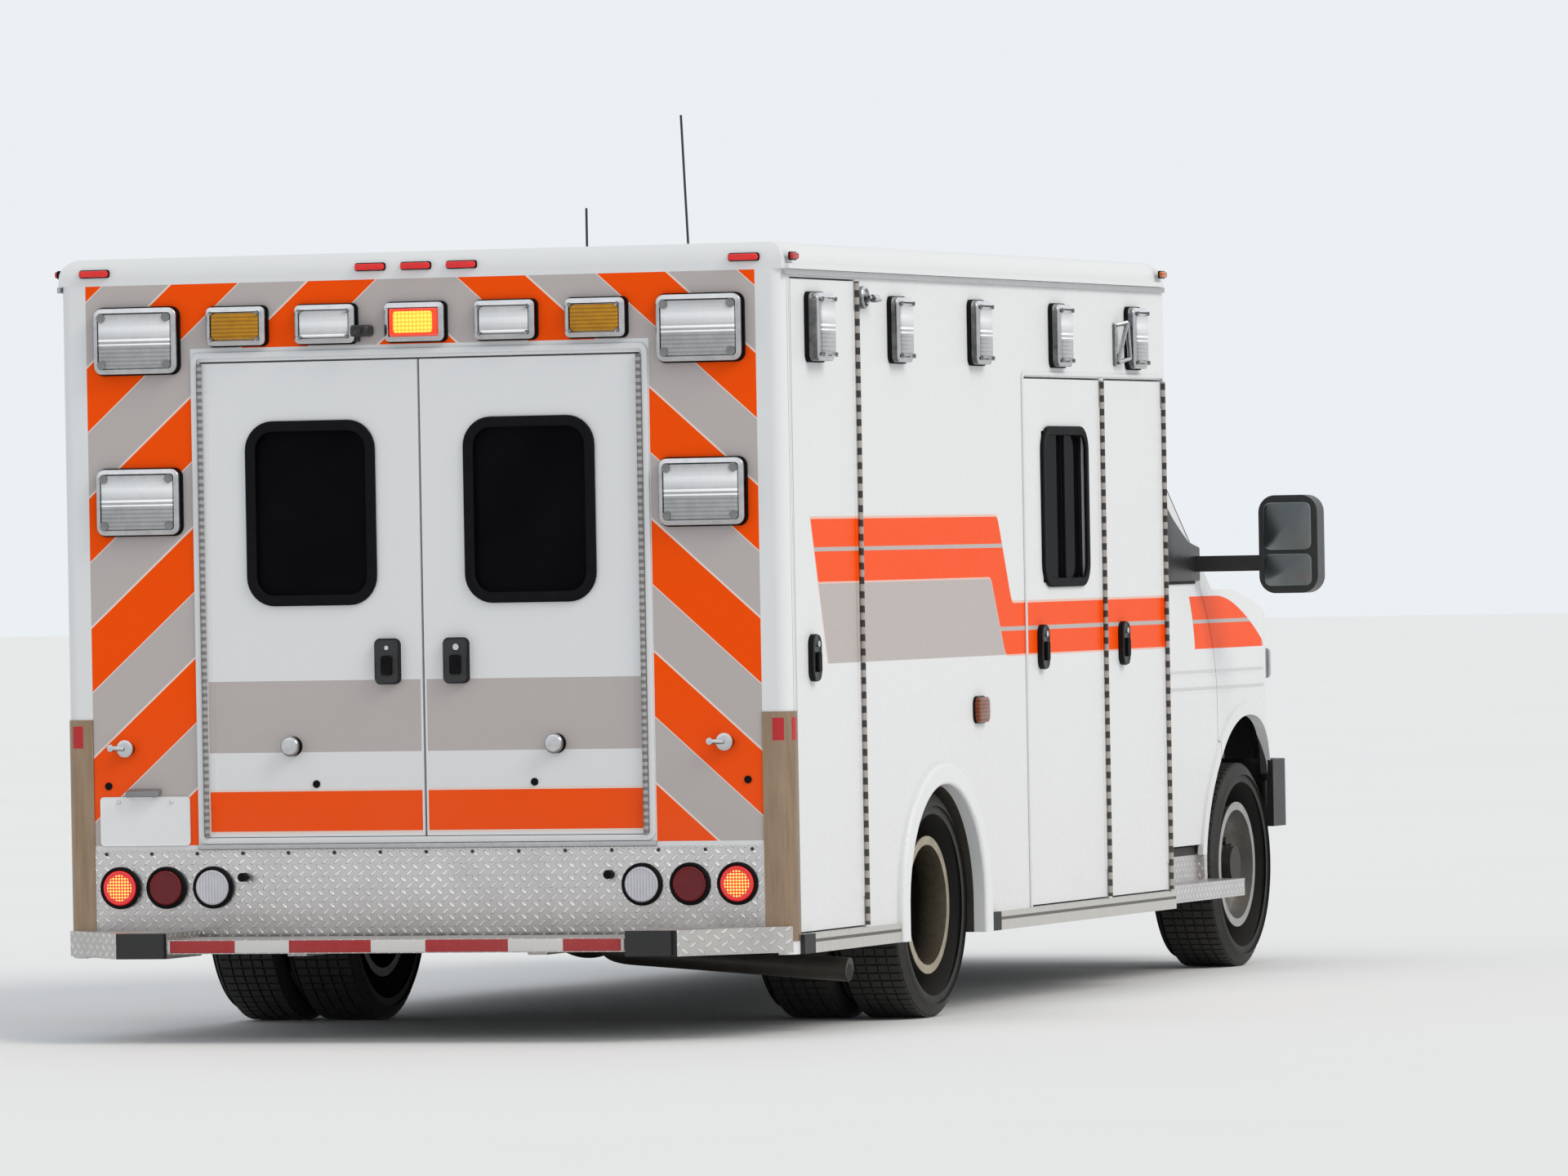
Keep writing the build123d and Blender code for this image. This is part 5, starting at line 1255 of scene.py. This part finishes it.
for face, y in seatForm["y"].items():
    left, right, corner = y - seatForm["half"], y + seatForm["half"], seatForm["corner"]
    seams = {"channels": (y - seatForm["channel"], y + seatForm["channel"])}
    ends = (1.195, left, 0.765), (1.645, right, 0.885)
    cushion = seatPad(f"seatCushion_{face}", *ends, corner, **seams)
    lean = {"lean": math.radians(seatForm["lean"]), "hinge": (1.13, y, 0.88)}
    ends = (1.085, left + 0.01, 0.86), (1.190, right - 0.01, 1.40)
    seatPad(f"seatBack_{face}", *ends, corner, **lean, **seams)
    seatPad(f"headRest_{face}", (1.065, y - 0.12, 1.42), (1.145, y + 0.12, 1.545), 0.035)
    stand = blockAt((1.205, left + 0.02, 0.602), (1.625, right - 0.02, 0.775))
    formed(stand, steps=[(0.02, -0.01)], soft=0.012, fine=3, axis="x", sign=1)
    posts = [rodBetween((1.115, y + dy, 1.37), (1.105, y + dy, 1.45), 0.006) for dy in (-0.05, 0.05)]
    place(joined([stand, *posts]), f"seatStand_{face}", "blackPlastic")
    if face == "left":
        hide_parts("cab_seats")
print("seats built")

# camera, at the photograph's viewing angle
view = {
    "from": (-36.234, -12.785, 1.535), "yaw": 19.217, "pitch": -0.237, "roll": -1.030,
    "lens": 262.2,
}
lightForm = {
    "sky": (0.925, 0.965, 1.0), "skyStrength": 0.70, "seenExtra": 0.20,
    "sun": (1.0, 0.94, 0.85), "sunStrength": 1.15, "sunAngle": 0.5, "sunFrom": (-0.3, -1.0, 0.9),
}


def makeCamera():
    yaw, pitch, roll = (math.radians(view[key]) for key in ("yaw", "pitch", "roll"))
    level = math.cos(pitch)
    ahead = Vector((math.cos(yaw) * level, math.sin(yaw) * level, math.sin(pitch)))
    flat = ahead.cross(Vector((0, 0, 1))).normalized()
    up = flat.cross(ahead)
    right = math.cos(roll) * flat + math.sin(roll) * up
    top = math.cos(roll) * up - math.sin(roll) * flat
    bpy.ops.object.camera_add()
    camera = bpy.context.object
    camera.name = "photoCamera"
    camera.data.lens = view["lens"]
    camera.data.sensor_width = 36
    camera.data.clip_end = 400
    turn = Matrix((right, top, -ahead)).transposed().to_4x4()
    camera.matrix_world = Matrix.Translation(view["from"]) @ turn
    bpy.context.scene.camera = camera


def makeLight():
    # the sky is brighter where the camera or a reflection sees it
    world = bpy.data.worlds.new("paleSky")
    bpy.context.scene.world = world
    world.use_nodes = True
    tree = world.node_tree
    sky = tree.nodes["Background"]
    path = tree.nodes.new("ShaderNodeLightPath")
    seen = path.outputs["Is Camera Ray"]
    for ray in ("Is Glossy Ray", "Is Transmission Ray"):
        either = tree.nodes.new("ShaderNodeMath")
        either.operation = "MAXIMUM"
        tree.links.new(seen, either.inputs[0])
        tree.links.new(path.outputs[ray], either.inputs[1])
        seen = either.outputs[0]
    strength = tree.nodes.new("ShaderNodeMath")
    strength.operation = "MULTIPLY_ADD"
    strength.inputs[1].default_value = lightForm["seenExtra"]
    strength.inputs[2].default_value = lightForm["skyStrength"]
    tree.links.new(seen, strength.inputs[0])
    tree.links.new(strength.outputs[0], sky.inputs["Strength"])
    sky.inputs["Color"].default_value = colourOf(lightForm["sky"])
    bpy.ops.object.light_add(type="SUN")
    sun = bpy.context.object
    sun.name = "softSun"
    sun.data.energy = lightForm["sunStrength"]
    sun.data.color = lightForm["sun"]
    sun.data.angle = lightForm["sunAngle"]
    sun.matrix_world = Vector(lightForm["sunFrom"]).to_track_quat("Z", "Y").to_matrix().to_4x4()


def makeFloor():
    deselectAll()
    bpy.ops.mesh.primitive_plane_add(size=240, location=(40, 0, -0.001))
    floor = bpy.context.object
    settle(floor)
    floor.name = "floor"
    dress(floor, "paleFloor")


deselectAll()
makeCamera()
makeLight()
makeFloor()
bpy.context.scene.view_settings.view_transform = "Standard"
print("camera, light and floor ready")
